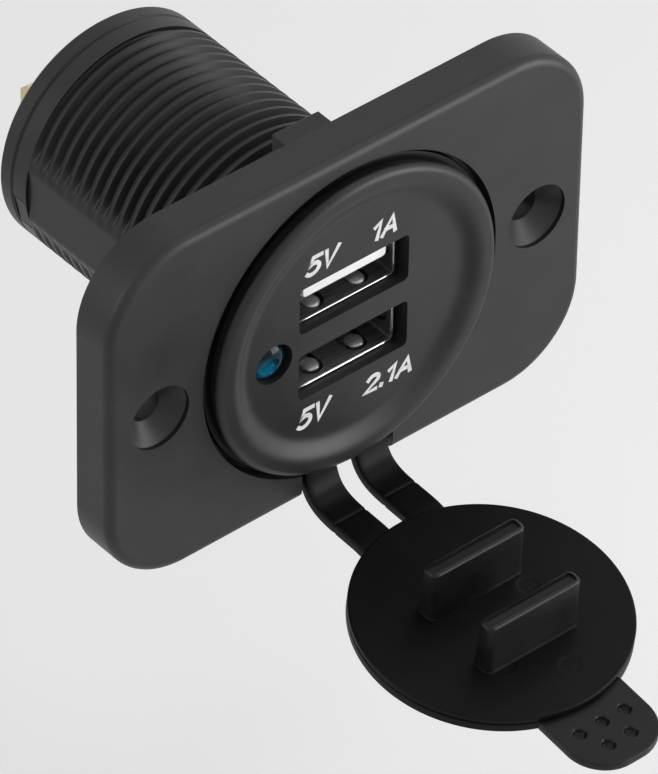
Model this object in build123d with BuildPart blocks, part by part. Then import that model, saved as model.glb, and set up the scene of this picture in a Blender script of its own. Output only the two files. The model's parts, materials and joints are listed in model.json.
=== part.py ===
"""Dual USB charging socket for a vehicle panel, with its screw plate and hinged rubber cap.

Millimetres. X runs to the right and Z up, seen from the front, and Y runs into the panel.
The origin is the centre of the plate's back face, between its two screw holes.
"""

import os
from math import cos, hypot, radians, sin, sqrt

from build123d import *

os.makedirs("parts", exist_ok=True)

# Mounting plate
plate_thickness = 5.2
plate_rim = 2.1
plate_corner_radius = 10.0
plate_edge_radius = 1.1
plate_wall = 1.8
plate_skin = 2.2
screw_offset = 5.6
screw_edge = 6.5
screw_hole_diameter = 3.7
screw_head_diameter = 7.6
screw_head_step = 0.5
screw_cone_depth = 1.9
screw_boss_wall = 1.2
recess_depth = 1.8
recess_margin = 1.0
recess_wall = 1.6
hole_clearance = 0.3

# Socket housing: dished flange, threaded barrel and front wall
flange_overhang = 4.6
flange_thickness = 2.1
flange_edge_radius = 0.9
flange_rim = 2.0
dish_slope = 2.1
dish_depth = 1.05
front_wall = 3.45
port_margin = 2.23
barrel_wall = 1.8
barrel_length = 37.3
thread_depth = 0.6
thread_pitch = 1.6
thread_run_out = 0.3
plain_end_length = 2.3
land_depth = 0.4
land_width = 6.4
seam_chamfer = 0.25

# USB ports
port_pitch = 8.8
window_side_gap = 0.675
window_top_gap = 0.125
window_corner_radius = 0.6
window_step = 2.05
shell_width = 13.1
shell_height = 5.7
shell_corner_radius = 0.6
shell_sheet = 0.3
shell_setback = 1.45
shell_length = 14.0
shell_clearance = 0.06
finger_offset = 2.95
finger_width = 1.9
finger_setback = 0.9
finger_length = 5.6
finger_slot = 0.4
side_finger_width = 1.6
leg_width = 2.2
leg_stickout = 0.8

# Tongues and contacts
tongue_side_gap = 0.7
tongue_thickness = 1.84
tongue_rise = 0.05
tongue_setbacks = {"upper": 0.35, "lower": 1.8}
tongue_chamfer = 0.25
block_length = 4.6
contact_positions = (-3.5, -1.0, 1.0, 3.5)
contact_width = 1.0
contact_thickness = 0.25
contact_step = 0.1
contact_setback = 0.7
contact_clearance = 0.04

# Circuit boards
board_thickness = 1.6
board_margin = 0.3
board_pad_clearance = 0.12
board_rib_height = 1.6
board_rib_width = 2.0
power_board_top = -4.0
power_board_gap = 1.0
board_end_gap = 0.3
power_board_side_gap = 0.5
rail_height = 1.0
rail_reach = 2.6
rail_clearance = 0.05
pin_size = 0.64
pin_pitch = 2.54
pin_count = 4
pin_setback = 0.9
pin_stickout = 0.6
pin_hole_radius = 0.5

# Indicator lamp
lamp_inset = 1.5
lamp_height = -0.55
lamp_hole_diameter = 4.8
lamp_clearance = 0.05
lamp_setback = 0.15
lamp_dome_height = 1.0
lamp_length = 5.4
lamp_sleeve_wall = 1.0
lamp_lead_pitch = 2.54
lamp_lead_size = 0.5

# Parts on the power board
parts_width_share = 1.3
inductor_radius_share = 0.2601
inductor_height = 7.0
inductor_waist_share = 0.425
inductor_lip_share = 0.2
inductor_flange = 1.2
inductor_x = -4.5
inductor_share = 0.2848
winding_clearance = 0.05
input_capacitor_height = 8.0
input_capacitor_radius_share = 0.2048
input_capacitor_x = 5.2
input_capacitor_share = 0.2523
output_capacitor_height = 6.0
output_capacitor_radius_share = 0.1626
output_capacitor_x = 0.0
output_capacitor_share = 0.8179
capacitor_groove = 0.3
capacitor_bead = 1.2
chip_size = (4.9, 3.9, 1.5)
chip_x = -3.0
chip_share = 0.3498
chip_lead_size = (0.4, 1.0, 0.6)
chip_lead_pitch = 1.27
diode_size = (4.3, 2.6, 2.1)
diode_x = 4.0
diode_share = 0.4148
diode_tab_size = (0.5, 1.4, 1.0)

# End cap and blade terminals
end_rim = 2.2
end_cap_edge = 0.4
spigot_length = 3.4
spigot_wall = 1.4
spigot_clearance = 0.08
snap_angle = 12.7
snap_width = 3.9
snap_length = 1.95
snap_setback = 0.3
snap_proud = 1.75
snap_clearance = 0.12
snap_slit = 0.6
terminal_offset = 4.5
terminal_width = 6.3
terminal_sheet = 0.8
terminal_stickout = 7.5
terminal_inner_share = 0.5462
terminal_shoulder = 0.7
terminal_hole_diameter = 1.7
terminal_tip_chamfer = 1.0
terminal_foot_share = 0.1951
terminal_clearance = 0.1

# Lock nut
nut_wall = 3.4
nut_thickness = 4.4
nut_clearance = 0.12
nut_lug_count = 6
nut_lug_width = 6.0
nut_lug_height = 2.2
nut_edge = 0.4

# Rubber strap ring under the flange
ring_inset = 0.4
ring_thickness = 1.2
ring_clearance = 0.2
strap_inner = 1.25
strap_outer = 5.45
strap_thickness = 1.45
strap_notch_margin = 0.65
strap_bend_radius = 1.9
strap_bend_back = 0.2
strap_bend_rise = 2.5

# Hinge line of the straps, below the barrel's axis
hinge_below_plate = 1.0
knuckle_radius = 0.7
knuckle_clearance = 0.1
hinge_relief = 0.7

# Rubber cap, drawn hanging open in front of the socket
cap_tilt = 7.07
cap_sit = 2.01
cap_overlap = 0.53
cap_thickness = 1.9
cap_liner_thickness = 0.7
cap_groove_width = 0.16
cap_groove_depth = 0.5
cap_hinge_depth = 0.86
cap_seat_gap = 0.14
cap_edge_radius = 0.25
strap_rise = 0.2
tab_length = 8.07
tab_corner_radius = 4.6
dimple_radius = 0.65
dimple_depth = 0.3
dimple_rows = ((2.52, (-3.0, 0.0, 3.0)), (5.27, (-1.5, 1.5)))
plug_side_gap = 0.05
plug_height = 6.2
plug_base_thickness = 2.55
plug_tip_thickness = 1.75
plug_corner_radius = 0.8
plug_drop = 2.36
plug_hollow_depth = 0.8
plug_hollow_wall = 0.5

# Planes across the barrel's axis, from the flange's front to the tips of the terminals
plate_front = -plate_thickness
recess_floor = plate_front + recess_depth
flange_back = recess_floor - ring_thickness
flange_front = flange_back - flange_thickness
face = flange_front + dish_depth
face_back = face + front_wall
barrel_end = flange_back + barrel_length
rear_end = barrel_end + end_rim
shell_front = face + shell_setback
board_front = shell_front + shell_length
board_back = board_front + board_thickness
power_board_front = board_back + power_board_gap
spigot_front = barrel_end - spigot_length
power_board_end = spigot_front - board_end_gap

# Widths and radii, from the ports outwards
shell_inner_width = shell_width - 2 * shell_sheet
shell_inner_height = shell_height - 2 * shell_sheet
window_width = shell_width + 2 * window_side_gap
window_height = shell_height + 2 * window_top_gap
tongue_width = shell_inner_width - 2 * tongue_side_gap
plug_width = shell_inner_width - 2 * plug_side_gap
barrel_inner_radius = hypot(shell_width / 2, (port_pitch + shell_height) / 2) + port_margin
barrel_radius = barrel_inner_radius + barrel_wall
thread_root_radius = barrel_radius - thread_depth
thread_end = barrel_end - plain_end_length
thread_turns = int((thread_end - thread_run_out - nut_thickness) / thread_pitch)
flange_radius = barrel_radius + flange_overhang
dish_radius = flange_radius - flange_rim
dish_floor_radius = dish_radius - dish_slope
ring_radius = flange_radius - ring_inset
recess_radius = flange_radius + recess_margin
plate_height = 2 * (recess_radius + plate_rim)
screw_spacing = 2 * (recess_radius + screw_offset)
plate_width = screw_spacing + 2 * screw_edge
notch_width = 2 * (strap_outer + strap_notch_margin)
nut_radius = barrel_radius + nut_wall
nut_lug_reach = nut_radius + nut_lug_height
board_radius = barrel_inner_radius - board_margin
power_board_bottom = power_board_top - board_thickness
power_board_room = sqrt(barrel_inner_radius**2 - power_board_bottom**2)
power_board_width = 2 * (power_board_room - power_board_side_gap)
lamp_offset = barrel_inner_radius - lamp_inset
lamp_radius = lamp_hole_diameter / 2 - lamp_clearance
lamp_back = face + lamp_setback + lamp_length
hinge_drop = plate_height / 2 + hinge_below_plate
cap_reach = hinge_drop - cap_sit
cap_radius = dish_floor_radius + cap_overlap
tab_reach = cap_radius + tab_length

# Lengths and places along the power board, as shares of the room behind its pins
parts_start = pin_setback + pin_size / 2
parts_room = power_board_end - power_board_front - parts_start
parts_span = min(parts_room, parts_width_share * barrel_inner_radius)
inductor_radius = inductor_radius_share * parts_span
inductor_waist_radius = inductor_waist_share * inductor_radius
inductor_place = (inductor_x, parts_start + inductor_share * parts_room)
input_capacitor_radius = input_capacitor_radius_share * parts_span
input_capacitor_place = (input_capacitor_x, parts_start + input_capacitor_share * parts_room)
output_capacitor_radius = output_capacitor_radius_share * parts_span
output_capacitor_place = (output_capacitor_x, parts_start + output_capacitor_share * parts_room)
chip_place = (chip_x, parts_start + chip_share * parts_room)
diode_place = (diode_x, parts_start + diode_share * parts_room)
terminal_inner_length = terminal_inner_share * parts_room
terminal_foot_length = terminal_foot_share * parts_room
pad_extra = 2 * board_pad_clearance
port_heights = {"upper": port_pitch / 2, "lower": -port_pitch / 2}


def across(y):
    """Plane across the barrel at depth y, with x to the right and its normal to the front."""
    return Plane(origin=(0, y, 0), x_dir=(1, 0, 0), z_dir=(0, -1, 0))


def side(x):
    """Plane along the barrel at x, where sketch x is depth Y and sketch y is height Z."""
    return Plane(origin=(x, 0, 0), x_dir=(0, 1, 0), z_dir=(1, 0, 0))


def finish(builder, name):
    """Label a finished piece and write its STEP file."""
    builder.part.label = name
    export_step(builder.part, f"parts/{name}.step")


# Mounting plate: rounded front, countersunk screw bosses, hollow corners at the back
with BuildPart() as mounting_plate:
    with BuildSketch(across(0)):
        RectangleRounded(plate_width, plate_height, plate_corner_radius)
    extrude(amount=plate_thickness)
    fillet(mounting_plate.faces().sort_by(Axis.Y)[0].edges(), radius=plate_edge_radius)
    with BuildSketch(across(recess_floor)):
        Circle(recess_radius)
        with Locations((0, -plate_height / 2)):
            Rectangle(notch_width, plate_height, align=(Align.CENTER, Align.CENTER))
    extrude(amount=recess_depth, mode=Mode.SUBTRACT)
    with BuildSketch(across(0)):
        Circle(barrel_radius + hole_clearance)
    extrude(amount=plate_thickness, mode=Mode.SUBTRACT)
    pocket_depth = plate_thickness - plate_skin
    boss_radius = screw_head_diameter / 2 + screw_boss_wall
    with BuildSketch(across(0)):
        RectangleRounded(
            plate_width - 2 * plate_wall,
            plate_height - 2 * plate_wall,
            plate_corner_radius - plate_wall,
        )
        Circle(recess_radius + recess_wall, mode=Mode.SUBTRACT)
        Rectangle(notch_width + 2 * recess_wall, plate_height, mode=Mode.SUBTRACT)
        with GridLocations(screw_spacing, 0, 2, 1):
            Circle(boss_radius, mode=Mode.SUBTRACT)
    extrude(amount=pocket_depth, mode=Mode.SUBTRACT)
    cone_top = screw_head_step
    cone_bottom = screw_head_step + screw_cone_depth
    for screw_x in (-screw_spacing / 2, screw_spacing / 2):
        with BuildSketch(Plane(origin=(screw_x, plate_front, 0), x_dir=(1, 0, 0), z_dir=(0, 0, 1))):
            with BuildLine():
                Polyline(
                    (0, 0),
                    (screw_head_diameter / 2, 0),
                    (screw_head_diameter / 2, cone_top),
                    (screw_hole_diameter / 2, cone_bottom),
                    (screw_hole_diameter / 2, plate_thickness),
                    (0, plate_thickness),
                    close=True,
                )
            make_face()
        revolve(axis=Axis((screw_x, 0, 0), (0, 1, 0)), mode=Mode.SUBTRACT)
finish(mounting_plate, "mounting_plate")


# Socket housing: one revolved moulding, then the ports, the lamp pocket, lands and snap windows.
# Rings at the thread's pitch, from the nut to the plain end, stand for its helix.
thread_profile = []
for thread_turn in range(thread_turns - 1, -1, -1):
    root_y = thread_end - thread_run_out - thread_turn * thread_pitch
    thread_profile.append((barrel_radius, root_y - thread_pitch / 2))
    thread_profile.append((thread_root_radius, root_y))
with BuildPart() as socket_housing:
    with BuildSketch(Plane.XY):
        with BuildLine():
            Polyline(
                (0, face),
                (dish_floor_radius, face),
                (dish_radius, flange_front),
                (flange_radius, flange_front),
                (flange_radius, flange_back),
                (barrel_radius, flange_back),
                *thread_profile,
                (thread_root_radius, thread_end),
                (barrel_radius, thread_end),
                (barrel_radius, barrel_end - seam_chamfer),
                (barrel_radius - seam_chamfer, barrel_end),
                (barrel_inner_radius, barrel_end),
                (barrel_inner_radius, face_back),
                (0, face_back),
                close=True,
            )
        make_face()
    revolve(axis=Axis.Y)
    rim_edges = socket_housing.edges().filter_by(GeomType.CIRCLE)
    rim_edges = rim_edges.filter_by(lambda edge: abs(edge.radius - flange_radius) < 0.01)
    fillet(rim_edges.sort_by(Axis.Y)[0], radius=flange_edge_radius)
    with BuildSketch(across(flange_back)):
        Rectangle(2 * (barrel_radius - land_depth), land_width)
        Circle(barrel_radius, mode=Mode.INTERSECT)
        Circle(barrel_inner_radius + barrel_wall / 4, mode=Mode.SUBTRACT)
    extrude(amount=-(thread_end - flange_back))
    with BuildSketch(across(flange_back)):
        Circle(flange_radius)
        Rectangle(2 * (barrel_radius - land_depth), 2 * flange_radius, mode=Mode.SUBTRACT)
    extrude(amount=-(thread_end - flange_back), mode=Mode.SUBTRACT)
    with BuildSketch(across(face_back)):
        with PolarLocations(barrel_inner_radius - board_rib_height, 4, start_angle=45):
            Rectangle(
                board_rib_height + barrel_wall,
                board_rib_width,
                align=(Align.MIN, Align.CENTER),
            )
        Circle(barrel_inner_radius + barrel_wall / 2, mode=Mode.INTERSECT)
    extrude(amount=-(board_front - face_back))
    with BuildSketch(across(face_back)):
        with Locations((-lamp_offset, lamp_height)):
            Circle(lamp_hole_diameter / 2 + lamp_sleeve_wall)
        Circle(barrel_inner_radius + barrel_wall / 2, mode=Mode.INTERSECT)
    extrude(amount=-(lamp_back - face_back))
    upper_rail = power_board_top + rail_clearance + rail_height / 2
    lower_rail = power_board_bottom - rail_clearance - rail_height / 2
    with BuildSketch(across(power_board_front)):
        with Locations((0, upper_rail), (0, lower_rail)):
            Rectangle(2 * barrel_radius, rail_height)
        Rectangle(power_board_width - rail_reach, 2 * barrel_radius, mode=Mode.SUBTRACT)
        Circle(barrel_inner_radius + barrel_wall / 2, mode=Mode.INTERSECT)
    extrude(amount=-(power_board_end - power_board_front))
    for port_z in port_heights.values():
        with BuildSketch(across(face)):
            with Locations((0, port_z)):
                RectangleRounded(window_width, window_height, window_corner_radius)
        extrude(amount=-window_step, mode=Mode.SUBTRACT)
        with BuildSketch(across(face)):
            with Locations((0, port_z)):
                RectangleRounded(
                    shell_width + 2 * shell_clearance,
                    shell_height + 2 * shell_clearance,
                    shell_corner_radius + shell_clearance,
                )
        extrude(amount=-front_wall, mode=Mode.SUBTRACT)
    with BuildSketch(across(face)):
        with Locations((-lamp_offset, lamp_height)):
            Circle(lamp_hole_diameter / 2)
    extrude(amount=-(lamp_back - face), mode=Mode.SUBTRACT)
    for snap_turn in (snap_angle, 180 + snap_angle):
        snap_plane = Plane(
            origin=(0, barrel_end - snap_setback - snap_length / 2, 0),
            x_dir=(0, 1, 0),
            z_dir=(cos(radians(snap_turn)), 0, sin(radians(snap_turn))),
        )
        with BuildSketch(snap_plane):
            Rectangle(snap_length, snap_width)
        extrude(amount=barrel_radius + barrel_wall, mode=Mode.SUBTRACT)
finish(socket_housing, "socket_housing")


# Lock nut: a ring with grip lugs, tightened against the plate's back
with BuildPart() as lock_nut:
    with BuildSketch(across(0)):
        Circle(nut_radius)
        with PolarLocations(0, nut_lug_count, start_angle=90):
            Rectangle(nut_lug_reach, nut_lug_width, align=(Align.MIN, Align.CENTER))
        Circle(barrel_radius + nut_clearance, mode=Mode.SUBTRACT)
    extrude(amount=-nut_thickness)
    chamfer(lock_nut.faces().sort_by(Axis.Y)[-1].edges(), length=nut_edge)
finish(lock_nut, "lock_nut")


# Port shells: folded sheet sleeves with sprung fingers and two board legs each
def finger_cut(width):
    """Sketch of the U-shaped slot round one sprung finger, its free end towards sketch -x."""
    tip = -finger_length / 2
    with BuildSketch() as slot:
        Rectangle(finger_length, width + 2 * finger_slot)
        with Locations((tip, 0)):
            Circle(width / 2 + finger_slot)
            Rectangle(
                finger_length + finger_slot,
                width,
                align=(Align.MIN, Align.CENTER),
                mode=Mode.SUBTRACT,
            )
            Circle(width / 2, mode=Mode.SUBTRACT)
    return slot.sketch


broad_finger = finger_cut(finger_width)
side_finger = finger_cut(side_finger_width)


for port_name, port_z in port_heights.items():
    finger_middle = shell_front + finger_setback + finger_width / 2 + finger_length / 2
    with BuildPart() as port_shell:
        with BuildSketch(across(shell_front)):
            with Locations((0, port_z)):
                RectangleRounded(shell_width, shell_height, shell_corner_radius)
                RectangleRounded(
                    shell_inner_width,
                    shell_inner_height,
                    shell_corner_radius - shell_sheet,
                    mode=Mode.SUBTRACT,
                )
        extrude(amount=-shell_length)
        roof_plane = Plane(origin=(0, finger_middle, port_z), x_dir=(0, 1, 0), z_dir=(0, 0, 1))
        with BuildSketch(roof_plane):
            with Locations((0, -finger_offset), (0, finger_offset)):
                add(broad_finger)
        extrude(amount=shell_height, both=True, mode=Mode.SUBTRACT)
        side_plane = Plane(origin=(0, finger_middle, port_z), x_dir=(0, 1, 0), z_dir=(1, 0, 0))
        with BuildSketch(side_plane):
            add(side_finger)
        extrude(amount=shell_width, both=True, mode=Mode.SUBTRACT)
        with BuildSketch(across(board_front)):
            with Locations((0, port_z)):
                with GridLocations(shell_width - shell_sheet, 0, 2, 1):
                    Rectangle(shell_sheet, leg_width)
        extrude(amount=-(board_thickness + leg_stickout))
    finish(port_shell, f"{port_name}_port_shell")


# Tongues: a white blade in front of the block that closes the shell's back
for port_name, port_z in port_heights.items():
    tongue_front = shell_front + tongue_setbacks[port_name]
    tongue_bottom = port_z + tongue_rise
    tongue_middle = tongue_bottom + tongue_thickness / 2
    contact_top = tongue_bottom - contact_step + contact_thickness
    with BuildPart() as port_tongue:
        with BuildSketch(across(tongue_front)):
            with Locations((0, tongue_middle)):
                Rectangle(tongue_width, tongue_thickness)
        extrude(amount=-(board_front - tongue_front))
        chamfer(
            port_tongue.faces().sort_by(Axis.Y)[0].edges().filter_by(Axis.X),
            length=tongue_chamfer,
        )
        with BuildSketch(across(board_front - block_length)):
            with Locations((0, port_z)):
                RectangleRounded(
                    shell_inner_width - 2 * shell_clearance,
                    shell_inner_height - 2 * shell_clearance,
                    shell_corner_radius - shell_sheet,
                )
        extrude(amount=-block_length)
        with BuildSketch(across(tongue_front + contact_setback)):
            for contact_x in contact_positions:
                with Locations((contact_x, contact_top)):
                    Rectangle(
                        contact_width + 2 * contact_clearance,
                        contact_thickness + contact_clearance,
                        align=(Align.CENTER, Align.MAX),
                    )
        extrude(amount=-(board_front - tongue_front - contact_setback), mode=Mode.SUBTRACT)
    finish(port_tongue, f"{port_name}_port_tongue")

    for contact_number, contact_x in enumerate(contact_positions, start=1):
        with BuildPart() as port_contact:
            with BuildSketch(across(tongue_front + contact_setback)):
                with Locations((contact_x, contact_top)):
                    Rectangle(contact_width, contact_thickness, align=(Align.CENTER, Align.MAX))
            extrude(amount=-(board_back + leg_stickout - tongue_front - contact_setback))
        finish(port_contact, f"{port_name}_port_contact_{contact_number}")


# Port board: a disc on the housing's four ribs, slotted for legs, contacts, leads and pins
pin_height = 0.0
pin_row = power_board_front + pin_setback
with BuildPart() as port_board:
    with BuildSketch(across(board_front)):
        Circle(board_radius)
        for port_z in port_heights.values():
            with Locations((0, port_z)):
                with GridLocations(shell_width - shell_sheet, 0, 2, 1):
                    Rectangle(
                        shell_sheet + pad_extra,
                        leg_width + pad_extra,
                        mode=Mode.SUBTRACT,
                    )
            contact_middle = port_z + tongue_rise - contact_step + contact_thickness / 2
            for contact_x in contact_positions:
                with Locations((contact_x, contact_middle)):
                    Rectangle(
                        contact_width + pad_extra,
                        contact_thickness + pad_extra,
                        mode=Mode.SUBTRACT,
                    )
        with Locations((0, pin_height)):
            with GridLocations(pin_pitch, 0, pin_count, 1):
                Circle(pin_hole_radius, mode=Mode.SUBTRACT)
        with Locations((-lamp_offset, lamp_height)):
            with GridLocations(0, lamp_lead_pitch, 1, 2):
                Circle(lamp_lead_size / 2 + 2 * board_pad_clearance, mode=Mode.SUBTRACT)
    extrude(amount=-board_thickness)
finish(port_board, "port_board")


# Power board: slides between the housing's rails behind the port board
power_board_length = power_board_end - power_board_front
foot_middle = barrel_end - terminal_inner_length + terminal_foot_length / 2
power_plane = Plane(origin=(0, 0, power_board_bottom), x_dir=(1, 0, 0), z_dir=(0, 0, 1))
with BuildPart() as power_board:
    with BuildSketch(power_plane):
        with Locations((0, power_board_front + power_board_length / 2)):
            Rectangle(power_board_width, power_board_length)
        with Locations((0, pin_row)):
            with GridLocations(pin_pitch, 0, pin_count, 1):
                Circle(pin_hole_radius, mode=Mode.SUBTRACT)
        with Locations((0, foot_middle)):
            with GridLocations(2 * terminal_offset, 0, 2, 1):
                Rectangle(
                    terminal_sheet + pad_extra,
                    terminal_foot_length + pad_extra,
                    mode=Mode.SUBTRACT,
                )
    extrude(amount=board_thickness)
finish(power_board, "power_board")


# Header pins: bent square wires that join the two boards
for pin_number in range(1, pin_count + 1):
    pin_x = (pin_number - (pin_count + 1) / 2) * pin_pitch
    pin_low = power_board_bottom - pin_stickout
    with BuildPart() as header_pin:
        with BuildSketch(side(pin_x - pin_size / 2)):
            with Locations((board_front - pin_stickout, pin_height - pin_size / 2)):
                Rectangle(
                    pin_row + pin_size / 2 - board_front + pin_stickout,
                    pin_size,
                    align=(Align.MIN, Align.MIN),
                )
            with Locations((pin_row - pin_size / 2, pin_low)):
                Rectangle(
                    pin_size,
                    pin_height + pin_size / 2 - pin_low,
                    align=(Align.MIN, Align.MIN),
                )
        extrude(amount=pin_size)
    finish(header_pin, f"header_pin_{pin_number}")


# Indicator lamp: a domed lens pressed into its sleeve, with two leads to the port board
with BuildPart() as lamp_lens:
    dome_front = face + lamp_setback
    with BuildSketch(Plane(origin=(-lamp_offset, 0, lamp_height), x_dir=(1, 0, 0), z_dir=(0, 0, 1))):
        with BuildLine():
            dome = ThreePointArc(
                (0, dome_front),
                (lamp_radius * sin(radians(45)), dome_front + lamp_dome_height * (1 - cos(radians(45)))),
                (lamp_radius, dome_front + lamp_dome_height),
            )
            Polyline(dome @ 1, (lamp_radius, lamp_back), (0, lamp_back), dome @ 0)
        make_face()
    revolve(axis=Axis((-lamp_offset, 0, lamp_height), (0, 1, 0)))
finish(lamp_lens, "lamp_lens")

for lead_name, lead_z in (("upper", lamp_lead_pitch / 2), ("lower", -lamp_lead_pitch / 2)):
    with BuildPart() as lamp_lead:
        with BuildSketch(across(lamp_back)):
            with Locations((-lamp_offset, lamp_height + lead_z)):
                Rectangle(lamp_lead_size, lamp_lead_size)
        extrude(amount=-(board_back + pin_stickout - lamp_back))
    finish(lamp_lead, f"lamp_lead_{lead_name}")


def upright(place):
    """Plane on the power board's top at a place given as x and distance from its front edge."""
    origin = (place[0], power_board_front + place[1], power_board_top)
    return Plane(origin=origin, x_dir=(1, 0, 0), z_dir=(0, -1, 0))


# Inductor: a ferrite bobbin with its copper winding round the waist
inductor_axis = Axis((inductor_place[0], power_board_front + inductor_place[1], 0), (0, 0, 1))
waist_low = inductor_flange
waist_high = inductor_height - inductor_flange
with BuildPart() as inductor_core:
    with BuildSketch(upright(inductor_place)):
        with BuildLine():
            Polyline(
                (0, 0),
                (inductor_radius, 0),
                (inductor_radius, waist_low),
                (inductor_waist_radius, waist_low),
                (inductor_waist_radius, waist_high),
                (inductor_radius, waist_high),
                (inductor_radius, inductor_height),
                (0, inductor_height),
                close=True,
            )
        make_face()
    revolve(axis=inductor_axis)
finish(inductor_core, "inductor_core")

with BuildPart() as inductor_winding:
    with BuildSketch(upright(inductor_place)):
        with Locations((inductor_waist_radius + winding_clearance, waist_low)):
            Rectangle(
                inductor_radius * (1 - inductor_lip_share) - inductor_waist_radius,
                waist_high - waist_low,
                align=(Align.MIN, Align.MIN),
            )
    revolve(axis=inductor_axis)
finish(inductor_winding, "inductor_winding")


# Capacitors: cans with the rolled groove above the rubber base
capacitors = {
    "input_capacitor": (input_capacitor_radius, input_capacitor_height, input_capacitor_place),
    "output_capacitor": (output_capacitor_radius, output_capacitor_height, output_capacitor_place),
}
for capacitor_name, (can_radius, can_height, can_place) in capacitors.items():
    with BuildPart() as capacitor:
        with BuildSketch(upright(can_place)):
            with BuildLine():
                Polyline(
                    (0, 0),
                    (can_radius, 0),
                    (can_radius, capacitor_bead - capacitor_groove),
                    (can_radius - capacitor_groove, capacitor_bead),
                    (can_radius, capacitor_bead + capacitor_groove),
                    (can_radius, can_height - capacitor_groove),
                    (can_radius - capacitor_groove, can_height),
                    (0, can_height),
                    close=True,
                )
            make_face()
        revolve(axis=Axis((can_place[0], power_board_front + can_place[1], 0), (0, 0, 1)))
    finish(capacitor, capacitor_name)


def under_board(place, drop):
    """Plane a distance under the power board at a place given as x and depth from its front."""
    origin = (place[0], power_board_front + place[1], power_board_bottom - drop)
    return Plane(origin=origin, x_dir=(1, 0, 0), z_dir=(0, 0, 1))


# Regulator chip: moulded body with gull leads down to the board's underside
with BuildPart() as regulator_chip:
    chip_length, chip_width, chip_z = chip_size
    lead_x, lead_reach, lead_z = chip_lead_size
    with BuildSketch(under_board(chip_place, chip_z)):
        Rectangle(chip_length, chip_width)
    extrude(amount=chip_z)
    with BuildSketch(under_board(chip_place, lead_z)):
        for lead_side in (-1, 1):
            with Locations((0, lead_side * (chip_width + lead_reach) / 2)):
                with GridLocations(chip_lead_pitch, 0, 4, 1):
                    Rectangle(lead_x, lead_reach)
    extrude(amount=lead_z)
finish(regulator_chip, "regulator_chip")

with BuildPart() as rectifier_diode:
    diode_length, diode_width, diode_z = diode_size
    tab_x, tab_y, tab_z = diode_tab_size
    with BuildSketch(under_board(diode_place, diode_z)):
        Rectangle(diode_length, diode_width)
    extrude(amount=diode_z)
    with BuildSketch(under_board(diode_place, tab_z)):
        with GridLocations(diode_length + tab_x, 0, 2, 1):
            Rectangle(tab_x, tab_y)
    extrude(amount=tab_z)
finish(rectifier_diode, "rectifier_diode")


# End cap: rim, wall and spigot with two snap tongues and the terminal slots
spigot_radius = barrel_inner_radius - spigot_clearance
with BuildPart() as rear_end_cap:
    with BuildSketch(Plane.XY):
        with BuildLine():
            Polyline(
                (0, barrel_end),
                (spigot_radius - spigot_wall, barrel_end),
                (spigot_radius - spigot_wall, spigot_front),
                (spigot_radius, spigot_front),
                (spigot_radius, barrel_end),
                (barrel_radius - seam_chamfer, barrel_end),
                (barrel_radius, barrel_end + seam_chamfer),
                (barrel_radius, rear_end - end_cap_edge),
                (barrel_radius - end_cap_edge, rear_end),
                (0, rear_end),
                close=True,
            )
        make_face()
    revolve(axis=Axis.Y)
    for snap_turn in (snap_angle, 180 + snap_angle):
        snap_direction = (cos(radians(snap_turn)), 0, sin(radians(snap_turn)))
        snap_middle = barrel_end - snap_setback - snap_length / 2
        snap_plane = Plane(
            origin=(0, snap_middle, 0), x_dir=(0, 1, 0), z_dir=snap_direction
        )
        with BuildSketch(snap_plane.offset(spigot_radius - spigot_wall / 2)):
            Rectangle(snap_length - 2 * snap_clearance, snap_width - 2 * snap_clearance)
        extrude(amount=spigot_wall / 2 + snap_proud)
        with BuildSketch(snap_plane.offset(spigot_radius - 2 * spigot_wall)):
            with Locations((-snap_length, 0)):
                with GridLocations(0, snap_width + snap_slit, 1, 2):
                    Rectangle(spigot_length + snap_length, snap_slit)
        extrude(amount=2 * spigot_wall + spigot_clearance, mode=Mode.SUBTRACT)
    with BuildSketch(across(barrel_end)):
        with GridLocations(2 * terminal_offset, 0, 2, 1):
            Rectangle(
                terminal_sheet + 2 * terminal_clearance, terminal_width + 2 * terminal_clearance
            )
    extrude(amount=-end_rim, mode=Mode.SUBTRACT)
finish(rear_end_cap, "rear_end_cap")


# Blade terminals: shouldered inside the end cap, with a foot through the power board
blade_start = barrel_end - terminal_inner_length
blade_tip = rear_end + terminal_stickout
half_blade = terminal_width / 2
for terminal_name, terminal_side in (("positive", 1), ("negative", -1)):
    terminal_x = terminal_side * terminal_offset - terminal_sheet / 2
    foot_end = power_board_bottom - pin_stickout
    with BuildPart() as terminal:
        with BuildSketch(side(terminal_x)):
            with BuildLine():
                Polyline(
                    (blade_start, half_blade + terminal_shoulder),
                    (blade_start, foot_end),
                    (blade_start + terminal_foot_length, foot_end),
                    (blade_start + terminal_foot_length, power_board_top),
                    (blade_start + terminal_foot_length + 1, -half_blade),
                    (blade_tip - terminal_tip_chamfer, -half_blade),
                    (blade_tip, -half_blade + terminal_tip_chamfer),
                    (blade_tip, half_blade - terminal_tip_chamfer),
                    (blade_tip - terminal_tip_chamfer, half_blade),
                    (barrel_end, half_blade),
                    (barrel_end, half_blade + terminal_shoulder),
                    close=True,
                )
            make_face()
            with Locations((blade_tip - terminal_stickout / 2, 0)):
                Circle(terminal_hole_diameter / 2, mode=Mode.SUBTRACT)
        extrude(amount=terminal_sheet)
    finish(terminal, f"{terminal_name}_terminal")


# Hinge line, from the cap's seat on the flange
hinge_y = flange_front - cap_seat_gap - cap_hinge_depth
hinge_z = -hinge_drop
strap_width = strap_outer - strap_inner

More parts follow.
